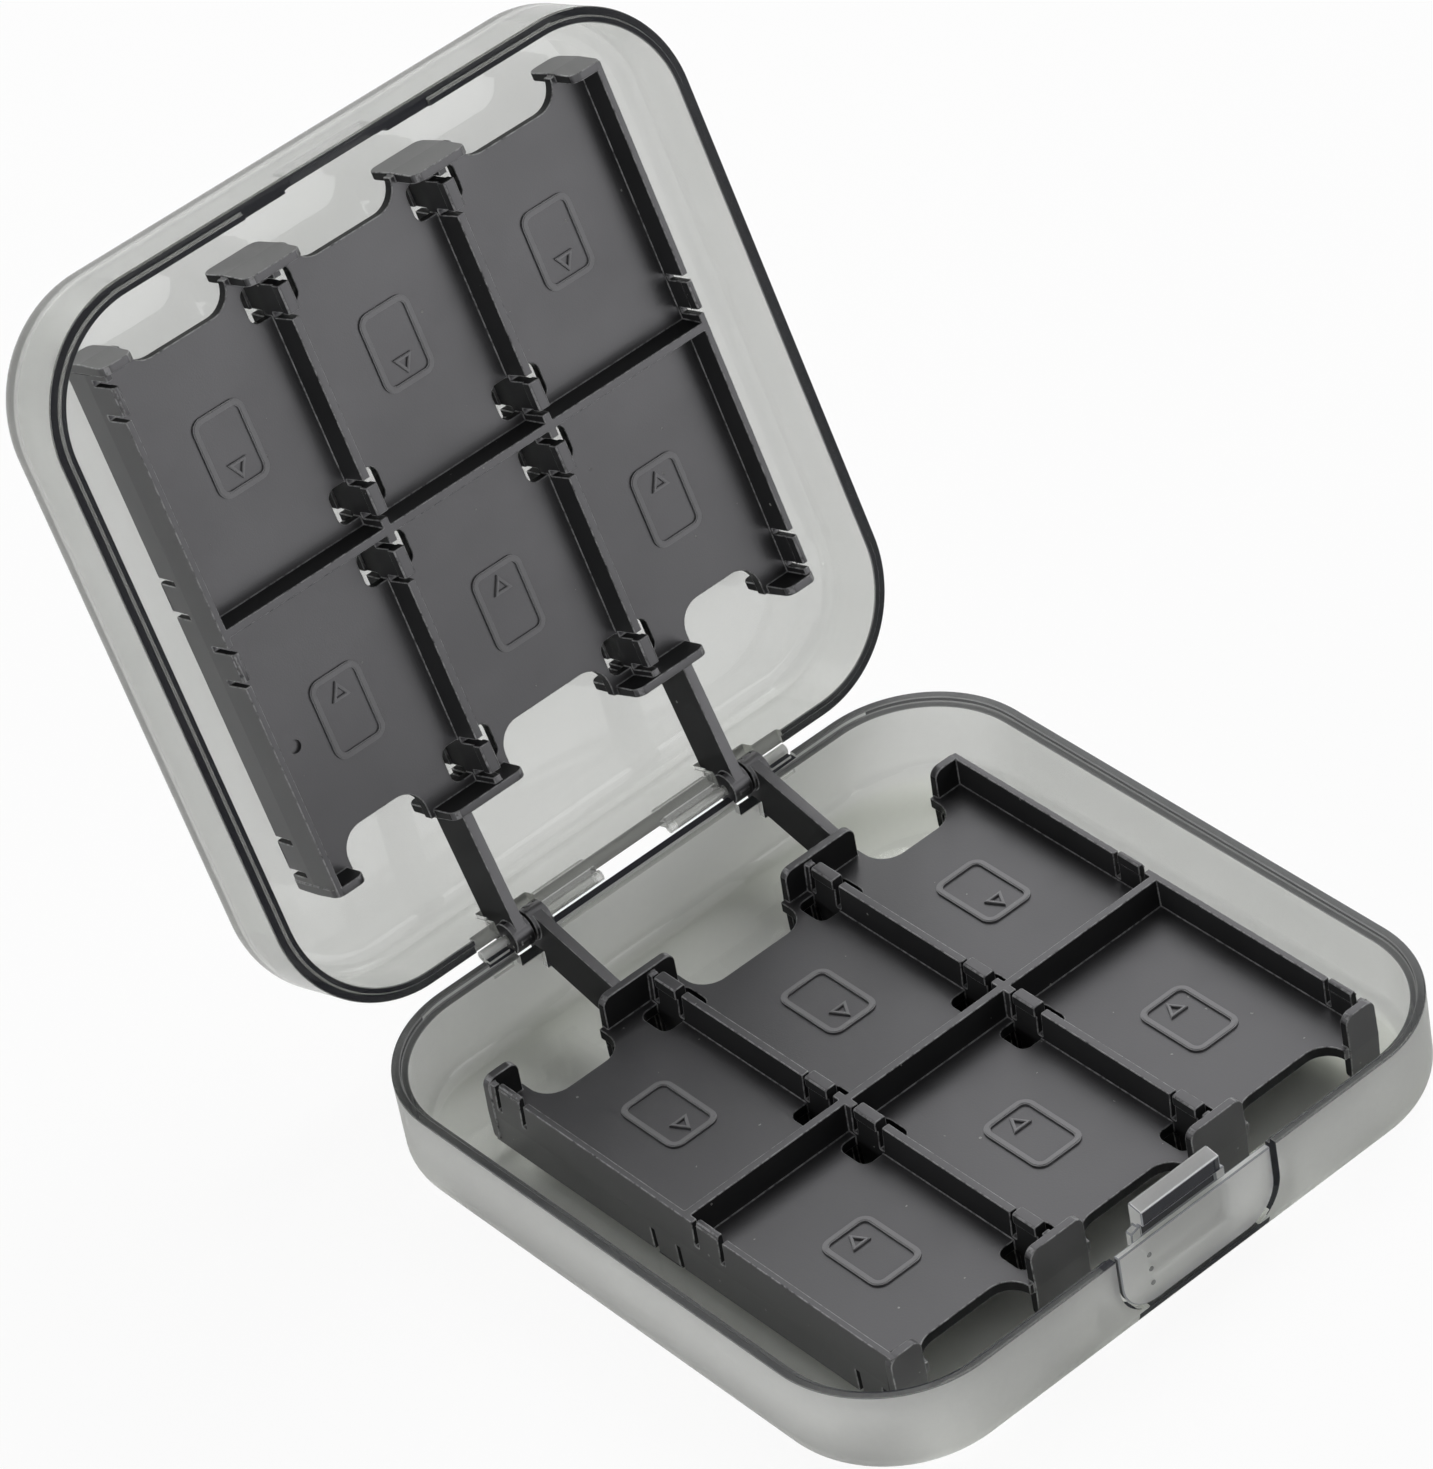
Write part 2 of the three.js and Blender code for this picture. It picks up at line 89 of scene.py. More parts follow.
def openToEdit(piece, kind):
    activate(piece)
    bpy.ops.object.mode_set(mode="EDIT")
    bpy.ops.mesh.select_mode(type=kind)
    bpy.ops.mesh.select_all(action="DESELECT")
    return bmesh.from_edit_mesh(piece.data)


# test gets an edge's two ends
def pickEdges(piece, test):
    mesh = openToEdit(piece, "EDGE")
    for edge in mesh.edges:
        edge.select_set(bool(test(edge.verts[0].co, edge.verts[1].co)))
    bmesh.update_edit_mesh(piece.data)


# test gets a face's middle and its normal
def pickFaces(piece, test):
    mesh = openToEdit(piece, "FACE")
    for face in mesh.faces:
        face.select_set(bool(test(face.calc_center_median(), face.normal)))
    bmesh.update_edit_mesh(piece.data)


def pickPoints(piece, test):
    mesh = openToEdit(piece, "VERT")
    for point in mesh.verts:
        point.select_set(bool(test(point.co)))
    mesh.select_flush_mode()
    bmesh.update_edit_mesh(piece.data)


def roundPicked(radius, steps):
    bpy.ops.mesh.bevel(offset=radius, segments=steps, affect="EDGES", clamp_overlap=False)


def near(a, b, slack=0.01):
    return abs(a - b) < slack


def alongX(a, b):
    return near(a.y, b.y) and near(a.z, b.z)


def alongY(a, b):
    return near(a.x, b.x) and near(a.z, b.z)


def alongZ(a, b):
    return near(a.x, b.x) and near(a.y, b.y)


def sliceThrough(piece, point, normal):
    openToEdit(piece, "FACE")
    bpy.ops.mesh.select_all(action="SELECT")
    bpy.ops.mesh.bisect(plane_co=point, plane_no=normal)


def movePoints(piece, test, shift):
    pickPoints(piece, test)
    bpy.ops.transform.translate(value=shift)


def combine(piece, tool, operation):
    activate(piece)
    step = piece.modifiers.new("combine", "BOOLEAN")
    step.operation = operation
    step.solver = "EXACT"
    step.object = tool
    bpy.ops.object.modifier_apply(modifier=step.name)
    bpy.data.objects.remove(tool, do_unlink=True)


# pieces that don't touch each other become one object
def gather(pieces):
    activate(pieces[0])
    for other in pieces[1:]:
        other.select_set(True)
    if len(pieces) > 1:
        bpy.ops.object.join()
    return pieces[0]


def cutAway(piece, tools):
    combine(piece, gather(tools), "DIFFERENCE")


def joinOn(piece, tools):
    combine(piece, gather(tools), "UNION")


# merges what the joins left behind, so that only real edges get rounded
def cleanUp(piece):
    openToEdit(piece, "VERT")
    bpy.ops.mesh.select_all(action="SELECT")
    bpy.ops.mesh.remove_doubles(threshold=tidying["mergeGap"])
    bpy.ops.mesh.dissolve_limited(angle_limit=math.radians(tidying["flatAngle"]))
    bpy.ops.mesh.select_all(action="SELECT")
    bpy.ops.mesh.normals_make_consistent(inside=False)
    deselectAll()


# rounds the sharp edges, except those that spared picks out
def softenEdges(piece, width, steps, edgeSlot=-1, spared=None):
    mesh = openToEdit(piece, "EDGE")
    bpy.ops.mesh.edges_select_sharp(sharpness=math.radians(tidying["sharpAngle"]))
    for edge in mesh.edges:
        if edge.select and spared and spared(edge.verts[0].co, edge.verts[1].co):
            edge.select_set(False)
    bmesh.update_edit_mesh(piece.data)
    bpy.ops.transform.edge_bevelweight(value=1.0)
    activate(piece)
    step = piece.modifiers.new("soften", "BEVEL")
    step.width = width
    step.segments = steps
    step.limit_method = "WEIGHT"
    step.use_clamp_overlap = False
    step.material = edgeSlot
    step.miter_outer = "MITER_ARC"
    bpy.ops.object.modifier_apply(modifier=step.name)


def smoothOver(piece, angle):
    activate(piece)
    bpy.ops.object.shade_smooth_by_angle(angle=math.radians(angle))
    step = piece.modifiers.new("weigh", "WEIGHTED_NORMAL")
    step.keep_sharp = True
    bpy.ops.object.modifier_apply(modifier=step.name)


# satin marks the faces that aren't polished, and the mark of painted shade darkens faces that lie in
# shade
def markFaces(piece, kind, test):
    marks = piece.data.attributes.new(kind, "FLOAT", "FACE")
    for face in piece.data.polygons:
        marks.data[face.index].value = float(test(face.center, face.normal))


# brings a piece from the bench to its place in the case; standing pieces are the lid's half
def settle(piece, name, standing, body, node):
    activate(piece)
    turn = Matrix.Identity(4)
    if standing:
        lean = -math.radians(placing["openAngle"])
        turn = Matrix.Rotation(lean, 4, "X") @ Matrix.Rotation(math.pi, 4, "Y")
    piece.matrix_world = Matrix.Translation(hingePoint) @ turn @ Matrix.Scale(placing["millimetre"], 4)
    bpy.ops.object.transform_apply(location=True, rotation=True, scale=True)
    smoothOver(piece, tidying["smoothAngle"])
    piece.name = name
    piece.data.name = name
    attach(piece, body)
    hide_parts(node)
    print("placed", name, "with", len(piece.data.polygons), "faces")


def bothSides(x0, x1, make):
    return [make(x0, x1), make(-x1, -x0)]


# a value, colour, vector or shader in a material, with sums written as sums
class Wire:
    def __init__(self, tree, socket=None):
        self.tree = tree
        self.socket = socket

    def node(self, kind, settings=None, inputs=None, output=0):
        made = self.tree.nodes.new(kind)
        for name, value in (settings or {}).items():
            if name == "stops":
                ramp = made.color_ramp
                while len(ramp.elements) < len(value):
                    ramp.elements.new(1.0)
                for element, (place, tone) in zip(ramp.elements, value):
                    element.position = place
                    element.color = (tone, tone, tone, 1)
            else:
                setattr(made, name, value)
        for name, value in (inputs or {}).items():
            if isinstance(value, Wire):
                self.tree.links.new(value.socket, made.inputs[name])
            else:
                made.inputs[name].default_value = value
        return Wire(self.tree, made.outputs[output] if made.outputs else None)

    def maths(self, operation, first, second):
        return self.node("ShaderNodeMath", {"operation": operation}, {0: first, 1: second})

    def __add__(self, other):
        return self.maths("ADD", self, other)

    __radd__ = __add__

    def __sub__(self, other):
        return self.maths("SUBTRACT", self, other)

    def __rsub__(self, other):
        return self.maths("SUBTRACT", other, self)

    def __mul__(self, other):
        return self.maths("MULTIPLY", self, other)

    __rmul__ = __mul__

    def above(self, other):
        return self.maths("GREATER_THAN", self, other)

    def upTo(self, other):
        return self.maths("MINIMUM", self, other)

    def noise(self, place, scale, detail=2.0, roughness=0.5):
        return self.node("ShaderNodeTexNoise", None, {
            "Vector": place, "Scale": scale, "Detail": detail, "Roughness": roughness})

    def ramp(self, stops):
        return self.node("ShaderNodeValToRGB", {"stops": stops}, {"Fac": self})

    def blend(self, first, second):
        return self.node("ShaderNodeMix", {"data_type": "RGBA"}, {
            "Factor": self, 6: first, 7: second}, 2)


def newMaterial(name):
    made = bpy.data.materials.new(name)
    made.use_nodes = True
    made.node_tree.nodes.clear()
    return made, Wire(made.node_tree)


smokePlastic = {
    "tint": (0.955, 0.96, 0.95, 1),
    "hazeTint": (0.92, 0.93, 0.915, 1),
    "swallowed": (0.505, 0.514, 0.473, 1),
    "density": 130.0,              # per metre
    "milk": (0.72, 0.72, 0.72, 1),
    "milkShare": 0.48,             # of the satin faces, not of the polished ones
    # painted shade: the dark diffuse laid over rims, slit and latch faces that lie in shade
    "shade": (0.022, 0.023, 0.032, 1),
    "gloss": 0.03,                 # roughness of the polished faces, and what satin adds
    "satin": 0.42,
    # painted highlights on the latch's edges: pale along them, white along the hook's front edge
    "paleEdgeHighlight": (0.30, 0.31, 0.33, 1),
    "whiteEdgeHighlight": (0.95, 0.95, 0.95, 1),
    "letThrough": (0.80, 0.81, 0.78, 1),
    "baseSatin": 1.35,             # how satin each shell is outside
    "lidSatin": 0.4,
    "hazeScale": 55.0,
    "wipeScale": 160.0,
    "cloudScale": 900.0,
    "rippleScale": 34.0,
    "rippleStrength": 0.12,
    "ior": 1.5,
}


def smokeMaterial():
    made, wire = newMaterial("smokePlastic")
    place = wire.node("ShaderNodeTexCoord", output=3)
    haze = wire.noise(place, smokePlastic["hazeScale"], 3.0).ramp([(0.38, 0.0), (0.72, 1.0)])
    wipeMap = wire.node("ShaderNodeMapping", None, {
        "Vector": place, "Rotation": (0.3, 0.5, 0.7), "Scale": (1.0, 14.0, 3.0)})
    wipes = wire.noise(wipeMap, smokePlastic["wipeScale"], 4.0, 0.7).ramp([(0.60, 0.0), (0.74, 1.0)])
    cloud = wire.noise(place, smokePlastic["cloudScale"], 4.0, 0.7)
    satin = wire.node("ShaderNodeAttribute", {"attribute_name": "satin"}, output=2)
    roughness = smokePlastic["gloss"] + satin * smokePlastic["satin"] + haze * 0.03 + wipes * 0.05
    ripple = wire.noise(place, smokePlastic["rippleScale"], 1.0)
    bump = wire.node("ShaderNodeBump", None, {
        "Strength": smokePlastic["rippleStrength"], "Distance": 0.0006, "Height": ripple})
    body = wire.node("ShaderNodeBsdfPrincipled", None, {
        "Base Color": haze.blend(smokePlastic["tint"], smokePlastic["hazeTint"]),
        "Roughness": roughness,
        "IOR": smokePlastic["ior"],
        "Transmission Weight": 1.0,
        "Normal": bump})
    outward = wire.node("ShaderNodeBsdfDiffuse", None, {"Color": smokePlastic["milk"], "Normal": bump})
    inward = wire.node("ShaderNodeBsdfTranslucent", None, {"Color": smokePlastic["milk"], "Normal": bump})
    milk = wire.node("ShaderNodeMixShader", None, {0: 0.5, 1: outward, 2: inward})
    share = satin * (cloud * 0.3 + 0.85) * smokePlastic["milkShare"]
    hazy = wire.node("ShaderNodeMixShader", None, {0: share, 1: body, 2: milk})
    # painted shade, mixed in by the face mark where rims, slit and latch lie in shade
    shade = wire.node("ShaderNodeBsdfDiffuse", None, {"Color": smokePlastic["shade"]})
    dim = wire.node("ShaderNodeAttribute", {"attribute_name": "dim"}, output=2)
    withPaintedShade = wire.node("ShaderNodeMixShader", None, {0: dim, 1: hazy, 2: shade})
    clear = wire.node("ShaderNodeBsdfTransparent", None, {"Color": smokePlastic["letThrough"]})
    lampRay = wire.node("ShaderNodeLightPath", output=1)
    surface = wire.node("ShaderNodeMixShader", None, {0: lampRay, 1: withPaintedShade, 2: clear})
    inside = wire.node("ShaderNodeVolumeAbsorption", None, {
        "Color": smokePlastic["swallowed"], "Density": smokePlastic["density"]})
    wire.node("ShaderNodeOutputMaterial", None, {"Surface": surface, "Volume": inside})
    return made


blackPlastic = {
    "dark": (0.015, 0.0152, 0.016, 1),
    "smudged": (0.024, 0.024, 0.025, 1),
    "dust": (0.30, 0.30, 0.29, 1),
    "rubbedAndHighlight": (0.32, 0.32, 0.325, 1),
    # roughness, share of the mirror light, share of pale rubbed wear and painted highlight, how patchy it
    # is
    "face": (0.28, 1.0, 0.0, 0.0),
    # the upright inner walls: a copy of the black plastic with little mirror light, so that they render
    # dark, which is painted shade
    "wall": (0.45, 0.08, 0.0, 0.0),
    "edge": (0.34, 0.6, 0.8, 0.32),
    "mark": (0.34, 1.0, 0.32, 0.05),
    "mirrorTint": (0.97, 0.96, 1.0, 1),
    "smudgeScale": 70.0,
    "speckScale": 420.0,
    "scatterScale": 900.0,
    "wearAndHighlightScale": 1300.0,
    "grainScale": 5200.0,
    "sinkScale": 150.0,
    "grainStrength": 0.22,
    "ior": 1.55,
}


def blackMaterial(name, finish):
    rough, shine, rubbedAndHighlight, patchy = blackPlastic[finish]
    made, wire = newMaterial(name)
    place = wire.node("ShaderNodeTexCoord", output=3)
    smudge = wire.noise(place, blackPlastic["smudgeScale"], 4.0, 0.6).ramp([(0.35, 0.0), (0.75, 1.0)])
    specks = wire.node("ShaderNodeTexVoronoi", {"feature": "F1"}, {
        "Vector": place, "Scale": blackPlastic["speckScale"]})
    scatter = wire.noise(place, blackPlastic["scatterScale"], 0.0)
    dust = (0.075 - specks).above(0.0) * scatter.above(0.63)
    colour = smudge.blend(blackPlastic["dark"], blackPlastic["smudged"])
    # the edges and the marks' ridges are paler: rubbed wear and painted highlight, patchy on the edges,
    # nearly even on the ridges
    if rubbedAndHighlight:
        wearAndHighlight = wire.noise(place, blackPlastic["wearAndHighlightScale"], 3.0, 0.7)
        wearAndHighlight = wearAndHighlight.ramp([(patchy, 0.0), (patchy + 0.26, 1.0)])
        colour = (wearAndHighlight * rubbedAndHighlight).blend(colour, blackPlastic["rubbedAndHighlight"])
    colour = (dust * 0.75).blend(colour, blackPlastic["dust"])
    grain = wire.noise(place, blackPlastic["grainScale"], 2.0, 0.6)
    sink = wire.noise(place, blackPlastic["sinkScale"], 2.0)
    bump = wire.node("ShaderNodeBump", None, {
        "Strength": blackPlastic["grainStrength"], "Distance": 0.00005,
        "Height": grain + sink * 2.0 + dust * 1.2})
    body = wire.node("ShaderNodeBsdfPrincipled", None, {
        "Base Color": colour,
        "Roughness": rough + smudge * 0.12 + grain * 0.06 + dust * 0.3,
        "IOR": blackPlastic["ior"],
        "Specular IOR Level": shine,
        "Specular Tint": blackPlastic["mirrorTint"],
        "Normal": bump})
    wire.node("ShaderNodeOutputMaterial", None, {"Surface": body})
    return made


# the latch's edges with painted highlight, pale where satin is 1 and white where it is 2
def edgeHighlightMaterial():
    made, wire = newMaterial("paintedHighlightEdge")
    satin = wire.node("ShaderNodeAttribute", {"attribute_name": "satin"}, output=2)
    body = wire.node("ShaderNodeBsdfPrincipled", None, {
        "Base Color": (satin - 1).blend(smokePlastic["paleEdgeHighlight"], smokePlastic["whiteEdgeHighlight"]),
        "Roughness": 0.35})
    wire.node("ShaderNodeOutputMaterial", None, {"Surface": body})
    return made


smoke = smokeMaterial()
edgeHighlight = edgeHighlightMaterial()
black = [blackMaterial(name, finish) for name, finish in (
    ("blackFace", "face"), ("blackEdge", "edge"), ("blackWallShaded", "wall"), ("blackMark", "mark"))]
print("materials made")


# hinge places across the case, from its middle outwards
hinge = {
    "armPlace": 16.3,
    "rootLean": 0.65,              # how far an arm stands to one side, at its root and at the hinge line
    "eyeLean": 1.45,
    "boreRadius": 0.5,
    "pinRadius": 0.44,
    "pinRound": 0.2,
    "pinSpan": (6.3, 22.4),
    "knuckleRadius": 0.64,
    "lidKnuckle": (5.1, 13.1),
    "baseKnuckle": (19.5, 22.7),
    "webBottom": -2.6,
    "webTop": -0.25,
    "webBack": 0.2,
    "notch": (13.45, 19.2, 2.5),   # for both trays' arms
    "ownNotch": (1.1, 5.1),        # deeper beside the arm of the shell's own tray
    "relief": 22.95,               # the rear rims are lower up to here
    "rearDrop": -0.6,
    "fineReach": 1.4,              # edges this near to the hinge line stay sharp
    "boreSides": 32,
}

dish = {
    "half": 44.3,
    "front": -89.2,
    "rear": -0.6,
    "bottom": -12.0,
    "rim": -0.15,
    "floor": -10.4,
    "wall": 1.8,
    "corner": 15.0,
    "cornerSteps": 28,
    "lowerRound": 3.0,
    "lowerSteps": 12,
    "insideRound": 2.2,
    "insideSteps": 8,
    "rimRound": 0.2,
    "baseLedge": 1.0,              # flat part of the base's rim, outside its rebate
    "rebate": -0.8,
    "lidLedge": 1.05,
    "lip": 0.5,
    "edge": 0.12,
}


dishMiddle = (dish["front"] + dish["rear"]) / 2
dishHalfDeep = (dish["rear"] - dish["front"]) / 2


# an open dish: outside, rim with its step, inside, all rounded
def dishBlank(ledge, step):
    half, rim = dish["half"], dish["rim"]
    body = addBlock((-half, dish["front"], dish["bottom"]), (half, dish["rear"], rim))
    pickEdges(body, alongZ)
    roundPicked(dish["corner"], dish["cornerSteps"])
    pickFaces(body, lambda middle, normal: normal.z > 0.9)
    bpy.ops.mesh.inset(thickness=ledge)
    bpy.ops.mesh.extrude_region_move(TRANSFORM_OT_translate={"value": (0, 0, step)})
    bpy.ops.mesh.inset(thickness=dish["wall"] - ledge)
    depth = dish["floor"] - rim - step
    bpy.ops.mesh.extrude_region_move(TRANSFORM_OT_translate={"value": (0, 0, depth)})
    pickEdges(body, lambda a, b: near(a.z, dish["floor"]) and near(b.z, dish["floor"]))
    roundPicked(dish["insideRound"], dish["insideSteps"])
    pickEdges(body, lambda a, b: near(a.z, dish["bottom"]) and near(b.z, dish["bottom"]))
    roundPicked(dish["lowerRound"], dish["lowerSteps"])
    levels = (rim, rim + step)
    pickEdges(body, lambda a, b: near(a.z, b.z) and any(near(a.z, level) for level in levels)
              and not onSpoke(a, b))
    roundPicked(dish["rimRound"], 3)
    deselectAll()
    return body


# an edge that runs across the rim, not round it
def onSpoke(a, b):
    flat = Vector((b.x - a.x, b.y - a.y)).normalized()
    x = max(abs(a.x) - dish["half"] + dish["corner"], 0)
    y = max(abs(a.y - dishMiddle) - dishHalfDeep + dish["corner"], 0)
    outward = Vector((math.copysign(x, a.x), math.copysign(y, a.y - dishMiddle))).normalized()
    return abs(flat.dot(outward)) > 0.5


# the outer walls, the underside and the hinge, but not the rim or the inside
def dishOutside(middle, normal):
    if normal.z < -0.05 or math.hypot(middle.y, middle.z) < 2.2:
        return True
    depth = min(dish["half"] - abs(middle.x), dish["rear"] - middle.y, middle.y - dish["front"])
    x = max(abs(middle.x) - dish["half"] + dish["corner"], 0)
    y = max(abs(middle.y - dishMiddle) - dishHalfDeep + dish["corner"], 0)
    if x and y:
        depth = dish["corner"] - math.hypot(x, y)
    return depth < 0.3 and abs(normal.z) < 0.5 or middle.y > dish["rear"]


# how much painted shade a rim gets: its flat top, its step's side, its rounded edges, its front, its rear
rimShades = {"base": (0.74, 0.85, 0.6, 0.35, 0.95), "lid": (0.92, 0.5, 0.35, 0.2, 0.5)}


def rimLines(kind):
    top, side, rounded, front, rear = rimShades[kind]

    def shade(middle, normal):
        if middle.y > dish["rear"] - dish["wall"] - 0.1 and abs(middle.x) < hinge["relief"]:
            back = middle.y > dish["rear"] - dish["baseLedge"] or kind == "lid"
            return rear if back and normal.z > 0.6 and math.hypot(middle.y, middle.z) > 0.7 else 0.0
        below = middle.z < dish["rim"] + dish["rebate"] - 0.1
        if below or dishOutside(middle, normal) and normal.z < 0.25:
            return 0.0
        if normal.z > 0.9:
            return front if middle.y < dish["front"] + 1 and near(middle.z, dish["rim"], 0.05) else top
        return rounded if normal.z > 0.25 else side

    return shade


# painted shade on the narrow faces between the latch and the base, and a painted shadow line on the
# base's edge under the latch
def slitFaces(middle, normal):
    bottom = dish["rim"] - latch["drop"] - latch["slit"]
    x = latch["half"] + latch["slit"] + 0.2
    across = abs(middle.x - latch["openingShift"])
    if across > x or middle.y > dish["front"] + dish["wall"] + 0.1:
        return 0.0
    if middle.z < bottom + 0.2:
        if middle.z < bottom - latch["darkDepth"]:
            return 0.0
        inLine = across < latch["half"] - latch["darkInset"]
        return latch["lineShade"] if inLine else latch["endShade"]
    return latch["slitShade"] if abs(normal.y) < 0.8 and normal.z < 0.8 else 0.0


def cutNotches(body):
    x0, x1, deep = hinge["notch"]
    rear = dish["rear"] - 5
    cutAway(body, bothSides(x0, x1, lambda a, b: addBlock((a, rear, -deep), (b, 3, deep))))
    half, deep = hinge["ownNotch"]
    eyes = [place + hinge["eyeLean"] for place in (-hinge["armPlace"], hinge["armPlace"])]
    cutAway(body, [addBlock((eye - half, rear, -deep), (eye + half, 3, deep)) for eye in eyes])


def rearRelief():
    x = hinge["relief"]
    return addBlock((-x, dish["rear"] - 5, hinge["rearDrop"]), (x, 3, 3))


# edges too fine to be rounded: about the hinge line, and where the rim's step ends
def onHinge(a, b):
    if max(math.hypot(p.y, p.z) for p in (a, b)) < hinge["fineReach"]:
        return True
    return any(near(abs(p.x), x) and near(abs(q.x), x) and p.z > -2
               for p, q in ((a, b),) for x in (hinge["relief"], latch["padHalf"]))


def addBore(x0, x1):
    return addRod(hinge["boreRadius"], x0, x1, sides=hinge["boreSides"])


def addKnuckles(body, span):
    wallMiddle = dish["rear"] - dish["wall"] / 3
    webs = bothSides(span[0] + 0.15, span[1] - 0.15, lambda a, b: addBlock(
        (a, wallMiddle, hinge["webBottom"]), (b, hinge["webBack"], hinge["webTop"])))
    joinOn(body, webs)
    rods = bothSides(span[0], span[1], lambda a, b: addRod(hinge["knuckleRadius"], a, b))
    joinOn(body, rods)


latch = {
    "half": 11.05,
    "openingShift": 1.2,           # the panel and its opening sit off the middle, the hook doesn't
    "panelShift": 0.95,
    "thick": 0.8,
    "drop": 8.8,
    "corner": 4.4,
    "slit": 0.62,
    "darkInset": 1.5,              # the painted shadow line under the slit: ends and height
    "darkDepth": 0.8,
    "slitShade": 0.95,             # how much painted shade the slit gets, the painted shadow line under it, the line's ends
    "lineShade": 0.9,
    "endShade": 0.5,
    # how dark the dots are, and painted shade on the hook's front and on the panel's edges in the slit
    "dotShade": 0.55,
    "hookShade": 0.88,
    "edgeShade": 0.9,
    "pivot": (-86.3, -6.55),
    "pivotRadius": 1.0,
    "pivotHalf": 13.3,
    "bossInset": 0.35,
    "bossWidth": 2.4,
    "bossReach": 2.3,
    "bossRound": 1.6,
    "bossSunk": 0.5,
    "pivotPlay": 0.3,
    "hookHalf": 5.7,
    "stem": (-87.6, -86.4),
    "hookTop": 3.2,
    "hookRound": 0.4,
    "rootSunk": 0.4,
    "rootDrop": 1.0,
    "barbFront": -88.45,
    "barbBottom": 0.75,
    "barbSlope": 0.4,
    "catchGap": 0.2,
    "catchSide": 0.4,
    "padHalf": 13.0,
    "footWidth": 1.1,
    "footFront": 0.32,             # into the wall, and short of the stem's rear
    "footBack": 0.35,
    "footSide": 0.3,
    "footBottom": -2.0,
    "footRise": 0.6,
    "footSlope": 0.45,
    "footRoom": 1.2,               # depth of the lid's pocket over the feet
    "dotPlaces": (-2.45, -4.45, -6.45),
    "dotX": -6.0,
    "dotRadius": 0.32,
    "dotRise": 0.16,
    "edge": 0.16,
}


def latchPanel(grow, shift, top, front, rear):
    x = latch["half"] + grow
    bottom = dish["rim"] - latch["drop"] - grow
    panel = addBlock((shift - x, front, bottom), (shift + x, rear, top))
    pickEdges(panel, lambda a, b: alongY(a, b) and near(a.z, bottom))
    roundPicked(latch["corner"] + grow, 12)
    deselectAll()
    return panel


def makeBase():
    body = dishBlank(dish["baseLedge"], dish["rebate"])
    inside = dish["front"] + dish["wall"]
    shift = latch["openingShift"]
    opening = latchPanel(latch["slit"], shift, 3, dish["front"] - 2, inside + 2)
    cutAway(body, [opening])
    cutAway(body, [rearRelief()])
    cutNotches(body)
    addKnuckles(body, hinge["baseKnuckle"])
    y, z = latch["pivot"]
    x0 = latch["half"] + latch["slit"] + latch["bossInset"]
    x1 = x0 + latch["bossWidth"]
    bosses = []
    rear, top, sunk = y + latch["bossReach"], z + latch["bossReach"], latch["bossSunk"]
    for a, b in ((shift + x0, shift + x1), (shift - x1, shift - x0)):
        boss = addBlock((a, inside - sunk, dish["floor"] - sunk), (b, rear, top))
        pickEdges(boss, lambda p, q: alongX(p, q) and near(p.y, rear) and p.z > z)
        roundPicked(latch["bossRound"], 6)
        bosses.append(boss)
    joinOn(body, bosses)
    play = latch["pivotPlay"]
    reach = latch["pivotHalf"] + play
    cutAway(body, [addRod(latch["pivotRadius"] + play, shift - reach, shift + reach, y, z)])
    span = hinge["baseKnuckle"]
    cutAway(body, bothSides(span[0] - 2, span[1] + 2, addBore))
    cleanUp(body)
    # the base's edge under the latch is cut where its painted shadow line ends
    low = dish["rim"] - latch["drop"] - latch["slit"]
    for way in (1, -1):
        pickFaces(body, lambda middle, normal:
                  middle.z < low + 0.2 and middle.y < inside and normal.z < -0.05)
        end = shift + way * (latch["half"] - latch["darkInset"])
        bpy.ops.mesh.bisect(plane_co=(end, 0, 0), plane_no=(1, 0, 0))
    softenEdges(body, dish["edge"], 2, spared=onHinge)
    satin = smokePlastic["baseSatin"]
    markFaces(body, "satin", lambda middle, normal: satin * dishOutside(middle, normal))
    shade = rimLines("base")
    markFaces(body, "dim", lambda middle, normal: max(shade(middle, normal), slitFaces(middle, normal)))
    body.data.materials.append(smoke)
    settle(body, "base_dish", False, "base", "base_shell")


def makeLid():
    body = dishBlank(dish["lidLedge"], dish["lip"])
    rim, inside = dish["rim"], dish["front"] + dish["wall"]
    pad, gap = latch["padHalf"], latch["catchGap"]
    catch = latch["hookHalf"] + latch["catchSide"]
    stemFront, barbFront = latch["stem"][0] - gap, latch["barbFront"] - gap
    cutAway(body, [addBlock((-pad, dish["front"] - 2, rim), (pad, inside + 2, 3))])
    feet = latch["hookHalf"] + latch["footWidth"] + latch["footSide"]
    cutAway(body, [addBlock((-feet, stemFront, -latch["footRoom"]), (feet, inside + 2, 3))])
    cutAway(body, [addBlock(
        (-catch, barbFront, -latch["hookTop"] - gap), (catch, inside + 2, -latch["barbBottom"] + gap))])
    cutAway(body, [rearRelief()])
    cutNotches(body)
    addKnuckles(body, hinge["lidKnuckle"])
    bore = (hinge["pinSpan"][0] - 0.3, hinge["lidKnuckle"][1] + 2)
    cutAway(body, bothSides(bore[0], bore[1], addBore))
    cleanUp(body)
    softenEdges(body, dish["edge"], 2, spared=onHinge)
    satin = smokePlastic["lidSatin"]
    markFaces(body, "satin", lambda middle, normal: satin * dishOutside(middle, normal))
    markFaces(body, "dim", rimLines("lid"))
    body.data.materials.append(smoke)
    settle(body, "lid_dish", True, "lid", "lid_shell")


# frosted all over but for the hook's sides, and marked 2 along the hook's front edge for its painted
# white highlight
def latchSatinAndHighlight(middle, normal):
    if middle.z > latch["barbBottom"] and normal.y < -0.15 and normal.z > 0.25:
        return 2.0
    return float(middle.z < dish["rim"] or normal.z > 0.3)


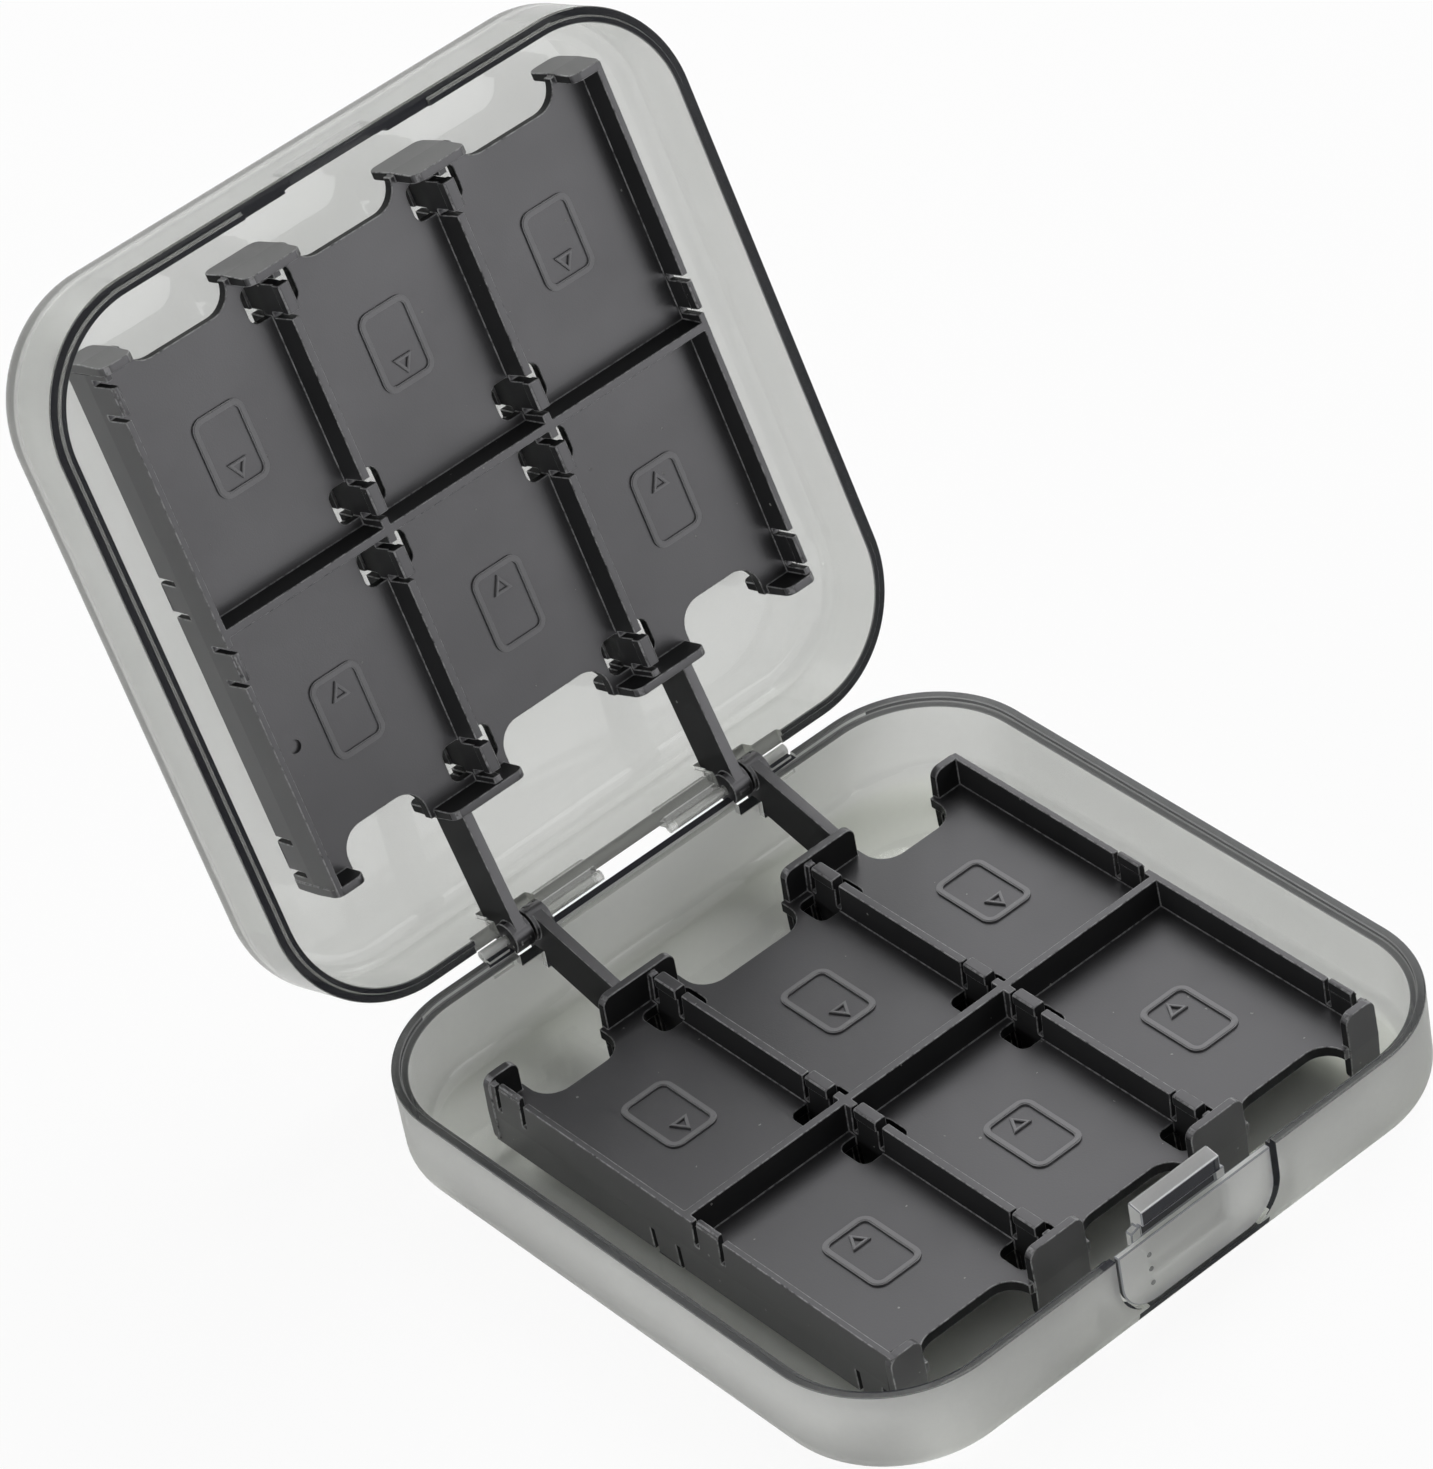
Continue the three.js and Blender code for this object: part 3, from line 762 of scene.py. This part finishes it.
# the dots are darkened, and painted shade falls on the hook's front and on the panel's edges in the slit
def latchShade(middle, normal):
    if middle.y < dish["front"] - 0.02:
        return latch["dotShade"]
    if middle.z > dish["rim"] + 0.05:
        return latch["hookShade"] if normal.y < -0.8 or normal.z < -0.3 else 0.0
    edge = max(abs(normal.x), -normal.z)
    inSlit = edge > 0.9 and middle.y < dish["front"] + latch["thick"] - 0.1
    return latch["edgeShade"] if inSlit else 0.0


def makeLatch():
    inside = dish["front"] + dish["wall"]
    shift = latch["panelShift"]
    behind = dish["front"] + latch["thick"]
    body = latchPanel(0, shift, dish["rim"], dish["front"], behind)
    half, top, low = latch["hookHalf"], latch["hookTop"], latch["barbBottom"]
    y, z = latch["pivot"]
    hook = addBlock((-half, latch["stem"][0], z), (half, latch["stem"][1], top))
    sliceThrough(hook, (0, 0, low), (0, 0, 1))
    pickFaces(hook, lambda middle, normal: normal.y < -0.9 and middle.z > low)
    reach = latch["barbFront"] - latch["stem"][0]
    bpy.ops.mesh.extrude_region_move(TRANSFORM_OT_translate={"value": (0, reach, 0)})
    fall = latch["barbSlope"] / (latch["stem"][1] - latch["barbFront"])
    for place in (latch["barbFront"], latch["stem"][0]):
        drop = fall * (place - latch["stem"][1])
        movePoints(hook, lambda p: near(p.y, place) and near(p.z, top), (0, 0, drop))
    pickEdges(hook, lambda a, b: alongX(a, b) and near(a.y, latch["stem"][1]) and near(a.z, top))
    roundPicked(latch["hookRound"], 4)
    # the stem runs down into the panel, and a sloping foot stands on each side of it
    sunk, top = latch["rootSunk"], dish["rim"] - latch["rootDrop"]
    root = addBlock((-half, behind - sunk, z), (half, latch["stem"][0] + sunk, top))
    joinOn(body, [root])
    joinOn(body, [hook])
    feet = []
    for side in (1, -1):
        x0, x1 = sorted((side * (half - latch["footSide"]), side * (half + latch["footWidth"])))
        front, rear = inside - latch["footFront"], latch["stem"][1] - latch["footBack"]
        foot = addBlock((x0, front, latch["footBottom"]), (x1, rear, dish["rim"] + latch["footRise"]))
        movePoints(foot, lambda p: p.z > 0 and near(p.x, side * (half + latch["footWidth"])),
                   (0, 0, -latch["footSlope"]))
        feet.append(foot)
    deselectAll()
    joinOn(body, feet)
    joinOn(body, [addRod(
        latch["pivotRadius"], shift - latch["pivotHalf"], shift + latch["pivotHalf"], y, z)])
    cleanUp(body)
    body.data.materials.append(smoke)
    body.data.materials.append(edgeHighlight)
    softenEdges(body, latch["edge"], 3, 1)
    dots = []
    flat = latch["dotRise"] / latch["dotRadius"]
    for place in latch["dotPlaces"]:
        deselectAll()
        bpy.ops.mesh.primitive_uv_sphere_add(
            segments=20, ring_count=12, radius=latch["dotRadius"],
            location=(latch["dotX"], dish["front"], place), scale=(1, flat, 1))
        bpy.ops.object.transform_apply(location=True, rotation=True, scale=True)
        dots.append(bpy.context.object)
    joinOn(body, dots)
    markFaces(body, "satin", latchSatinAndHighlight)
    markFaces(body, "dim", latchShade)
    settle(body, "front_latch", False, "latch", "latch")


def makePins():
    for name, node, side in (("left_pin", "hinge_pin_left", -1), ("right_pin", "hinge_pin_right", 1)):
        x0, x1 = sorted(side * x for x in hinge["pinSpan"])
        pin = addRod(hinge["pinRadius"], x0, x1, sides=32)
        pickEdges(pin, lambda a, b: near(a.x, b.x) and (near(a.x, x0) or near(a.x, x1)))
        roundPicked(hinge["pinRound"], 3)
        deselectAll()
        markFaces(pin, "satin", lambda middle, normal: True)
        pin.data.materials.append(smoke)
        settle(pin, name, False, "base", node)


tray = {
    "level": -5.1,                 # middle of the web
    "rear": -14.9,
    "front": -81.6,
    "side": 35.3,
    "web": 0.7,                    # half thicknesses and half heights
    "wall": 4.4,
    "plate": 4.9,
    "sideWall": 0.95,
    "draft": 0.16,
    "taper": 0.25,                 # the inner walls' tops, on each side
    "divider": 1.5,
    "dividerX": 11.7,
    "cross": 1.5,
    "endPlate": 1.2,
    "plateCorner": 1.2,
    "plateProud": 0.08,
    "cornerPlate": 4.2,
    "frontPlate": 3.8,
    "hingePlate": (3.4, 7.0),
    "scoop": (4.8, 3.3),           # at the hinge, at the front
    "scoopCorner": 3.0,
    "scoopMargin": 0.6,
    "slotHalf": 10.95,
    "sunk": 0.3,                   # how far pieces run into each other
    "columns": (-23.4, 0.0, 23.4),
    "window": (2.6, 4.4, 1.0),     # width, length, inset
    "windowCorner": 1.1,
    "finger": (3.5, 0.7, 0.75),    # length, slit, inset
    "slitFoot": 0.35,
    "headReach": 0.05,
    "headDepth": 0.9,
    "headRise": 0.5,
    "headRound": 0.32,
    "armThickness": 1.3,
    "armTop": -0.6,
    "armDepth": 6.4,
    "armRise": 2.7,
    "armTip": 1.0,                 # past the hinge line
    "eyeRadius": 2.0,
    "eyeHalf": 1.3,
    "tipRound": 0.6,
    "gatePit": (30.9, -31.5, 0.8, 0.45),  # place, radius, depth
    "edge": 0.12,
}
rowHinge = (-47.5, -16.1)
rowFront = (-80.4, -49.0)


def trayScoops():
    side = tray["side"] - tray["cornerPlate"]
    x = tray["dividerX"]
    inner, outer = tray["hingePlate"]
    margin = tray["scoopMargin"]
    low, high = tray["level"] - 3, tray["level"] + 3
    cuts = []
    for edge, way, deep, a, b in (
            (tray["rear"], 1, tray["scoop"][0], inner, outer),
            (tray["front"], -1, tray["scoop"][1], tray["frontPlate"], tray["frontPlate"])):
        bottom = edge - way * deep
        ends = sorted((bottom, edge + way * 3))
        for x0, x1 in ((-side, -x - b), (-x + a, x - a), (x + b, side)):
            bite = addBlock((x0 + margin, ends[0], low), (x1 - margin, ends[1], high))
            pickEdges(bite, lambda p, q: alongZ(p, q) and near(p.y, bottom))
            roundPicked(tray["scoopCorner"], 9)
            cuts.append(bite)
    deselectAll()
    return cuts


def trayWindows():
    width, length, inset = tray["window"]
    cuts = []
    for x in tray["columns"]:
        for front, rear in (rowHinge, rowFront):
            starts = (front + inset, rear - inset - length)
            for y0, y1 in ((starts[0], starts[0] + length), (starts[1], rear - inset)):
                for way in (1, -1):
                    edge = x + way * tray["slotHalf"]
                    if abs(edge) > tray["side"] - 2:
                        continue
                    inner = edge - way * width
                    x0, x1 = sorted((inner, edge + way * tray["sunk"]))
                    cut = addBlock((x0, y0, tray["level"] - 3), (x1, y1, tray["level"] + 3))
                    pickEdges(cut, lambda p, q: alongZ(p, q) and near(p.x, inner))
                    roundPicked(tray["windowCorner"], 5)
                    cuts.append(cut)
    deselectAll()
    return cuts


# a wall whose outer face swells to the web's level, where the mould parts
def sideWalls():
    walls = []
    low, high = tray["level"] - tray["wall"], tray["level"] + tray["wall"]
    for way in (1, -1):
        outer = way * (tray["side"] - tray["draft"])
        x0, x1 = sorted((way * (tray["side"] - tray["sideWall"]), outer))
        wall = addBlock((x0, tray["front"] + tray["sunk"], low), (x1, tray["rear"] - tray["sunk"], high))
        sliceThrough(wall, (0, 0, tray["level"]), (0, 0, 1))
        shift = (way * tray["draft"], 0, 0)
        movePoints(wall, lambda p: near(p.x, outer) and near(p.z, tray["level"]), shift)
        walls.append(wall)
    deselectAll()
    return walls


# an upright wall that thins away from the web on both faces of the tray, across the given axis
def innerWall(low, high, axis):
    bottom, top = tray["level"] - tray["wall"], tray["level"] + tray["wall"]
    wall = addBlock((*low, bottom), (*high, top))
    sliceThrough(wall, (0, 0, tray["level"]), (0, 0, 1))
    for side, way in ((low[axis], 1), (high[axis], -1)):
        shift = [0, 0, 0]
        shift[axis] = way * tray["taper"]
        movePoints(wall, lambda p: near(p[axis], side) and not near(p.z, tray["level"]), shift)
    deselectAll()
    return wall


def dividerWalls():
    half = tray["divider"] / 2
    front, rear = tray["front"] + tray["sunk"], tray["rear"] - tray["sunk"]
    places = (-tray["dividerX"], tray["dividerX"])
    return [innerWall((x - half, front), (x + half, rear), 0) for x in places]


# an upright plate at an end of the tray, with rounded corners and a swelling outer face
def endPlate(x0, x1, way, above, below):
    low, high = tray["level"] - below, tray["level"] + above
    outer = tray["rear"] if way > 0 else tray["front"]
    y0, y1 = sorted((outer, outer - way * tray["endPlate"]))
    plate = addBlock((x0, y0, low), (x1, y1, high))
    pickEdges(plate, alongY)
    roundPicked(tray["plateCorner"], 6)
    sliceThrough(plate, (0, 0, tray["level"]), (0, 0, 1))
    shift = (0, -way * tray["draft"], 0)
    movePoints(plate, lambda p: near(p.y, outer) and not near(p.z, tray["level"]), shift)
    deselectAll()
    return plate


def endPlates():
    side, x = tray["side"] + tray["plateProud"], tray["dividerX"]
    corner = tray["side"] - tray["cornerPlate"]
    inner, outer = tray["hingePlate"]
    tall, plain = tray["plate"], tray["wall"] + tray["plateProud"]
    reach = tray["frontPlate"]
    plates = bothSides(x - inner, x + outer, lambda a, b: endPlate(a, b, 1, tall, tall))
    plates += bothSides(x - reach, x + reach, lambda a, b: endPlate(a, b, -1, tall, tall))
    plates.append(endPlate(-side, -corner, 1, tall, plain))
    plates.append(endPlate(corner, side, 1, plain, tall))
    plates.append(endPlate(-side, -corner, -1, plain, tall))
    plates.append(endPlate(corner, side, -1, tall, plain))
    return plates


# where spring fingers are: wall's X span, row, end of the row, face of the tray
def fingerSpots():
    side, thick, half = tray["side"], tray["sideWall"], tray["divider"] / 2
    spots = []
    for row in (rowHinge, rowFront):
        for face in (1, -1):
            spots.append((-side, -side + thick, row, face, face))
            spots.append((side - thick, side, row, -face, face))
            for x in (-tray["dividerX"], tray["dividerX"]):
                for end in (1, -1):
                    spots.append((x - half, x + half, row, end, face))
    return spots


def fingerSlits():
    length, slit, inset = tray["finger"]
    foot = tray["web"] + tray["slitFoot"]
    cuts = []
    for x0, x1, row, end, face in fingerSpots():
        start = row[1] if end > 0 else row[0]
        z0, z1 = sorted(tray["level"] + face * height for height in (foot, tray["plate"] + 1))
        for place in (inset, inset + slit + length):
            y0, y1 = sorted((start - end * place, start - end * (place + slit)))
            cuts.append(addBlock((x0 - 0.6, y0, z0), (x1 + 0.6, y1, z1)))
    return cuts


# a head for each finger, reaching over the slots beside it; the slits trim its ends
def fingerHeads():
    length, slit, inset = tray["finger"]
    side = tray["side"]
    heads = []
    for x0, x1, row, end, face in fingerSpots():
        start = row[1] if end > 0 else row[0]
        a = x0 + 1.5 * tray["draft"] if near(x0, -side) else x0 - tray["headReach"]
        b = x1 - 1.5 * tray["draft"] if near(x1, side) else x1 + tray["headReach"]
        near0, near1 = inset + slit - tray["sunk"], inset + slit + length + tray["sunk"]
        y0, y1 = sorted((start - end * near0, start - end * near1))
        heights = (tray["wall"] - tray["headDepth"], tray["wall"] + tray["headRise"])
        z0, z1 = sorted(tray["level"] + face * height for height in heights)
        head = addBlock((a, y0, z0), (b, y1, z1))
        crown = tray["level"] + face * heights[1]
        pickEdges(head, lambda p, q: alongY(p, q) and near(p.z, crown))
        roundPicked(tray["headRound"], 4)
        heads.append(head)
    deselectAll()
    return heads


# a straight arm from an end plate back past the hinge line, leaning and rising, with a round eye
def addArms(body):
    half, top, tip = tray["armThickness"] / 2, tray["armTop"], tray["armTip"]
    arms, eyes, bores = [], [], []
    for place in (-hinge["armPlace"], hinge["armPlace"]):
        root, eye = place + hinge["rootLean"], place + hinge["eyeLean"]
        arm = addBlock((root - half, tray["rear"] - 0.6, top - tray["armDepth"]), (root + half, tip, top))
        movePoints(arm, lambda p: near(p.y, tip), (eye - root, 0, tray["armRise"]))
        pickEdges(arm, lambda a, b: alongX(a, b) and near(a.y, tip))
        roundPicked(tray["tipRound"], 7)
        deselectAll()
        arms.append(arm)
        eyes.append(addRod(tray["eyeRadius"], eye - tray["eyeHalf"], eye + tray["eyeHalf"]))
        bores.append(addBore(eye - 2, eye + 2))
    joinOn(body, arms)
    joinOn(body, eyes)
    cutAway(body, bores)


mark = {
    "half": (3.5, 4.9),
    "corner": 1.5,
    "line": 0.75,
    "rise": 0.28,
    "crown": 0.05,                 # height of the ridge's rounded top
    "slope": 0.2,                  # share of the line on each side of its top
    "sink": 0.4,
    "arrowSink": 0.3,
    "arrow": 1.45,
    "arrowLine": 0.36,
    "arrowPlace": 2.2,             # from the frame's middle towards the cross wall
}


# presses the middle of a ridge back into the web, so that only its rim stands up
def hollowRidge(piece, line, face, sink):
    pickFaces(piece, lambda middle, normal: normal.z * face > 0.9)
    side = mark["slope"]
    drop = mark["rise"] + sink / 2
    for share, lift in ((side, mark["crown"]), (1 - 2 * side, -mark["crown"]), (side, -drop)):
        bpy.ops.mesh.inset(thickness=line * share)
        bpy.ops.mesh.extrude_region_move(TRANSFORM_OT_translate={"value": (0, 0, face * lift)})
    deselectAll()


# the places of the marks: middle, way to the cross wall, face of the tray
def markSpots():
    return [(x, (row[0] + row[1]) / 2, toCross, face) for x in tray["columns"]
            for row, toCross in ((rowHinge, -1), (rowFront, 1)) for face in (1, -1)]


def markHeights(face, sink):
    surface = tray["level"] + face * tray["web"]
    return sorted((surface - face * sink, surface + face * (mark["rise"] - mark["crown"])))


def markFrames():
    frames = []
    wide, long = mark["half"]
    for x, y, toCross, face in markSpots():
        z0, z1 = markHeights(face, mark["sink"])
        ring = addBlock((x - wide, y - long, z0), (x + wide, y + long, z1))
        pickEdges(ring, alongZ)
        roundPicked(mark["corner"], 6)
        hollowRidge(ring, mark["line"], face, mark["sink"])
        frames.append(ring)
    return frames


def markArrows():
    arrows = []
    for x, y, toCross, face in markSpots():
        z0, z1 = markHeights(face, mark["arrowSink"])
        deselectAll()
        bpy.ops.mesh.primitive_cylinder_add(
            vertices=3, radius=mark["arrow"], depth=z1 - z0,
            location=(x, y + toCross * mark["arrowPlace"], (z0 + z1) / 2),
            rotation=(0, 0, 0 if toCross > 0 else math.pi))
        bpy.ops.object.transform_apply(location=True, rotation=True, scale=True)
        arrow = bpy.context.object
        hollowRidge(arrow, mark["arrowLine"], face, mark["arrowSink"])
        arrows.append(arrow)
    return arrows


# an edge of a mark, which is too fine to be rounded
def onMark(a, b):
    if max(abs(p.z - tray["level"]) for p in (a, b)) > tray["web"] + mark["rise"] + 0.1:
        return False
    wide, long = (half + 0.1 for half in mark["half"])
    return any(abs(p.x - x) < wide and abs(p.y - y) < long
               for p in (a, b) for x, y, toCross, face in markSpots())


# the pit where the plastic ran into the mould, on the given face of the tray
def addGatePit(piece, face):
    x, y, radius, deep = tray["gatePit"]
    deselectAll()
    surface = tray["level"] + face * tray["web"]
    bpy.ops.mesh.primitive_cylinder_add(
        vertices=32, radius=radius, depth=2 * deep, location=(face * x, y, surface))
    bpy.ops.object.transform_apply(location=True, rotation=True, scale=True)
    cutAway(piece, [bpy.context.object])


# the tray's shiny outer faces
def onOutside(middle, normal):
    if abs(normal.x) > 0.7:
        return abs(middle.x) > tray["side"] - 0.3
    if normal.y > 0.7:
        return middle.y > tray["rear"] - 0.3
    return normal.y < -0.7 and middle.y < tray["front"] + 0.3


def makeTrays():
    inner = tray["side"] - tray["sideWall"] / 2
    low, high = tray["level"] - tray["web"], tray["level"] + tray["web"]
    front, rear = tray["front"] + tray["sunk"], tray["rear"] - tray["sunk"]
    body = addBlock((-inner, front, low), (inner, rear, high))
    cutAway(body, trayScoops())
    cutAway(body, trayWindows())
    joinOn(body, sideWalls())
    joinOn(body, dividerWalls())
    cross = (rowHinge[0] + rowFront[1]) / 2
    half = tray["cross"] / 2
    joinOn(body, [innerWall((-inner, cross - half), (inner, cross + half), 1)])
    print("tray walls up")
    joinOn(body, fingerHeads())
    cutAway(body, fingerSlits())
    joinOn(body, endPlates())
    addArms(body)
    joinOn(body, markFrames())
    joinOn(body, markArrows())
    cleanUp(body)
    for material in black:
        body.data.materials.append(material)
    # slots: 0 plain black, 1 edges with rubbed wear and painted highlight, 2 upright inner walls with
    # little mirror light as painted shade, 3 marks' ridges with painted highlight
    for face in body.data.polygons:
        height = abs(face.center.z - tray["level"])
        if onMark(face.center, face.center) and height > tray["web"] + 0.05:
            face.material_index = 3
        elif abs(face.normal.z) < 0.3:
            face.material_index = 0 if onOutside(face.center, face.normal) else 2
        elif height > tray["wall"] + 0.2 and height < tray["plate"] - 0.03:
            face.material_index = 1
    softenEdges(body, tray["edge"], 2, 1, onMark)
    pickEdges(body, lambda a, b: near(a.z, tray["level"]) and near(b.z, tray["level"]) and (
        min(abs(a.x), abs(b.x)) > tray["side"] - 0.05 or min(a.y, b.y) > tray["rear"] - 0.05
        or max(a.y, b.y) < tray["front"] + 0.05))
    bpy.ops.mesh.mark_sharp()
    deselectAll()
    print("tray modelled with", len(body.data.polygons), "faces")
    upper = body.copy()
    upper.data = body.data.copy()
    bpy.context.scene.collection.objects.link(upper)
    addGatePit(body, -1)
    addGatePit(upper, 1)
    settle(body, "lower_card_tray", False, "lower_page", "lower_tray")
    settle(upper, "upper_card_tray", True, "upper_page", "upper_tray")


makeBase()
makeLid()
makeLatch()
makePins()
makeTrays()
print("case modelled")


studio = {
    "floorSize": 6.0,
    "floorHeight": -0.0002,        # a hair below the case, so that rays through it meet the floor
    "floorColour": (0.9, 0.9, 0.9, 1),
    "ownWhite": 0.92,              # share of the floor that is plain white to the eye
    "whiteThrough": 0.0,           # the same, seen through the smoke plastic
    "skyFill": 0.12,
    "skyTop": 0.75,
    "aim": (0.0, 0.02, 0.03),
    # name, place, size, power, whether it is mirrored
    "lamps": (
        ("key_lamp", (1.45, 0.75, 1.45), 1.5, 37.0, False),
        ("back_lamp", (0.75, 1.35, 1.4), 2.4, 11.0, True),
        ("front_lamp", (0.8, -1.1, 0.3), 0.8, 2.2, True),
        ("left_lamp", (-1.3, -0.25, 0.16), 0.5, 8.0, False),
    ),
}


# 1 for what the eye sees straight on or mirrored, and a share of that through the plastic
def seenRay(wire, shareThrough):
    camera = wire.node("ShaderNodeLightPath", output=0)
    glossy = wire.node("ShaderNodeLightPath", output=3)
    through = wire.node("ShaderNodeLightPath", output=6)
    return (camera + glossy * (1 - through) + through * shareThrough).upTo(1.0)


def makeStudio():
    size = studio["floorSize"]
    deselectAll()
    bpy.ops.mesh.primitive_plane_add(size=size, location=(0, 0, studio["floorHeight"]))
    floor = bpy.context.object
    floor.name = "studio_floor"
    made, wire = newMaterial("paleFloor")
    paper = wire.node("ShaderNodeBsdfDiffuse", None, {"Color": studio["floorColour"]})
    white = wire.node("ShaderNodeEmission", None, {"Color": (1, 1, 1, 1), "Strength": 1.0})
    share = seenRay(wire, studio["whiteThrough"]) * studio["ownWhite"]
    surface = wire.node("ShaderNodeMixShader", None, {0: share, 1: paper, 2: white})
    wire.node("ShaderNodeOutputMaterial", None, {"Surface": surface})
    floor.data.materials.append(made)

    world = bpy.data.worlds.new("studioSky")
    world.use_nodes = True
    world.node_tree.nodes.clear()
    bpy.context.scene.world = world
    wire = Wire(world.node_tree)
    way = wire.node("ShaderNodeTexCoord", output=0)
    height = wire.node("ShaderNodeSeparateXYZ", None, {0: way}, 2)
    tone = height.ramp([(0.0, 1.0), (0.35, 1.0), (0.9, studio["skyTop"])])
    seen = seenRay(wire, 1.0)
    strength = seen + (1 - seen) * studio["skyFill"]
    sky = wire.node("ShaderNodeBackground", None, {"Color": tone, "Strength": strength})
    wire.node("ShaderNodeOutputWorld", None, {"Surface": sky})

    for name, lampPlace, lampSize, power, mirrored in studio["lamps"]:
        deselectAll()
        bpy.ops.object.light_add(type="AREA", location=lampPlace)
        lamp = bpy.context.object
        lamp.name = name
        lamp.data.shape = "SQUARE"
        lamp.data.size = lampSize
        lamp.data.energy = power
        lamp.visible_glossy = mirrored
        aim = Vector(studio["aim"]) - Vector(lampPlace)
        lamp.rotation_euler = aim.to_track_quat("-Z", "Y").to_euler()
    print("studio lit")


photoCamera = {
    "place": (-0.3400, -0.4727, 0.5300),
    "right": (0.7431, -0.6529, -0.1470),
    "up": (0.5061, 0.4045, 0.7617),
    "lens": 176.49,                # 36 mm on the photo's longer side
}


def makeCamera():
    deselectAll()
    bpy.ops.object.camera_add(location=photoCamera["place"])
    camera = bpy.context.object
    right, up = Vector(photoCamera["right"]), Vector(photoCamera["up"])
    back = right.cross(up)
    turn = Matrix((right, up, back)).transposed().to_4x4()
    camera.matrix_world = Matrix.Translation(photoCamera["place"]) @ turn
    camera.data.lens = photoCamera["lens"]
    camera.data.sensor_width = 36
    camera.data.clip_start = 0.01
    camera.data.clip_end = 20
    bpy.context.scene.camera = camera


makeStudio()
makeCamera()
scene = bpy.context.scene
scene.view_settings.view_transform = "Standard"
scene.cycles.max_bounces = 24
scene.cycles.transmission_bounces = 20
scene.cycles.glossy_bounces = 8
scene.cycles.transparent_max_bounces = 32
deselectAll()
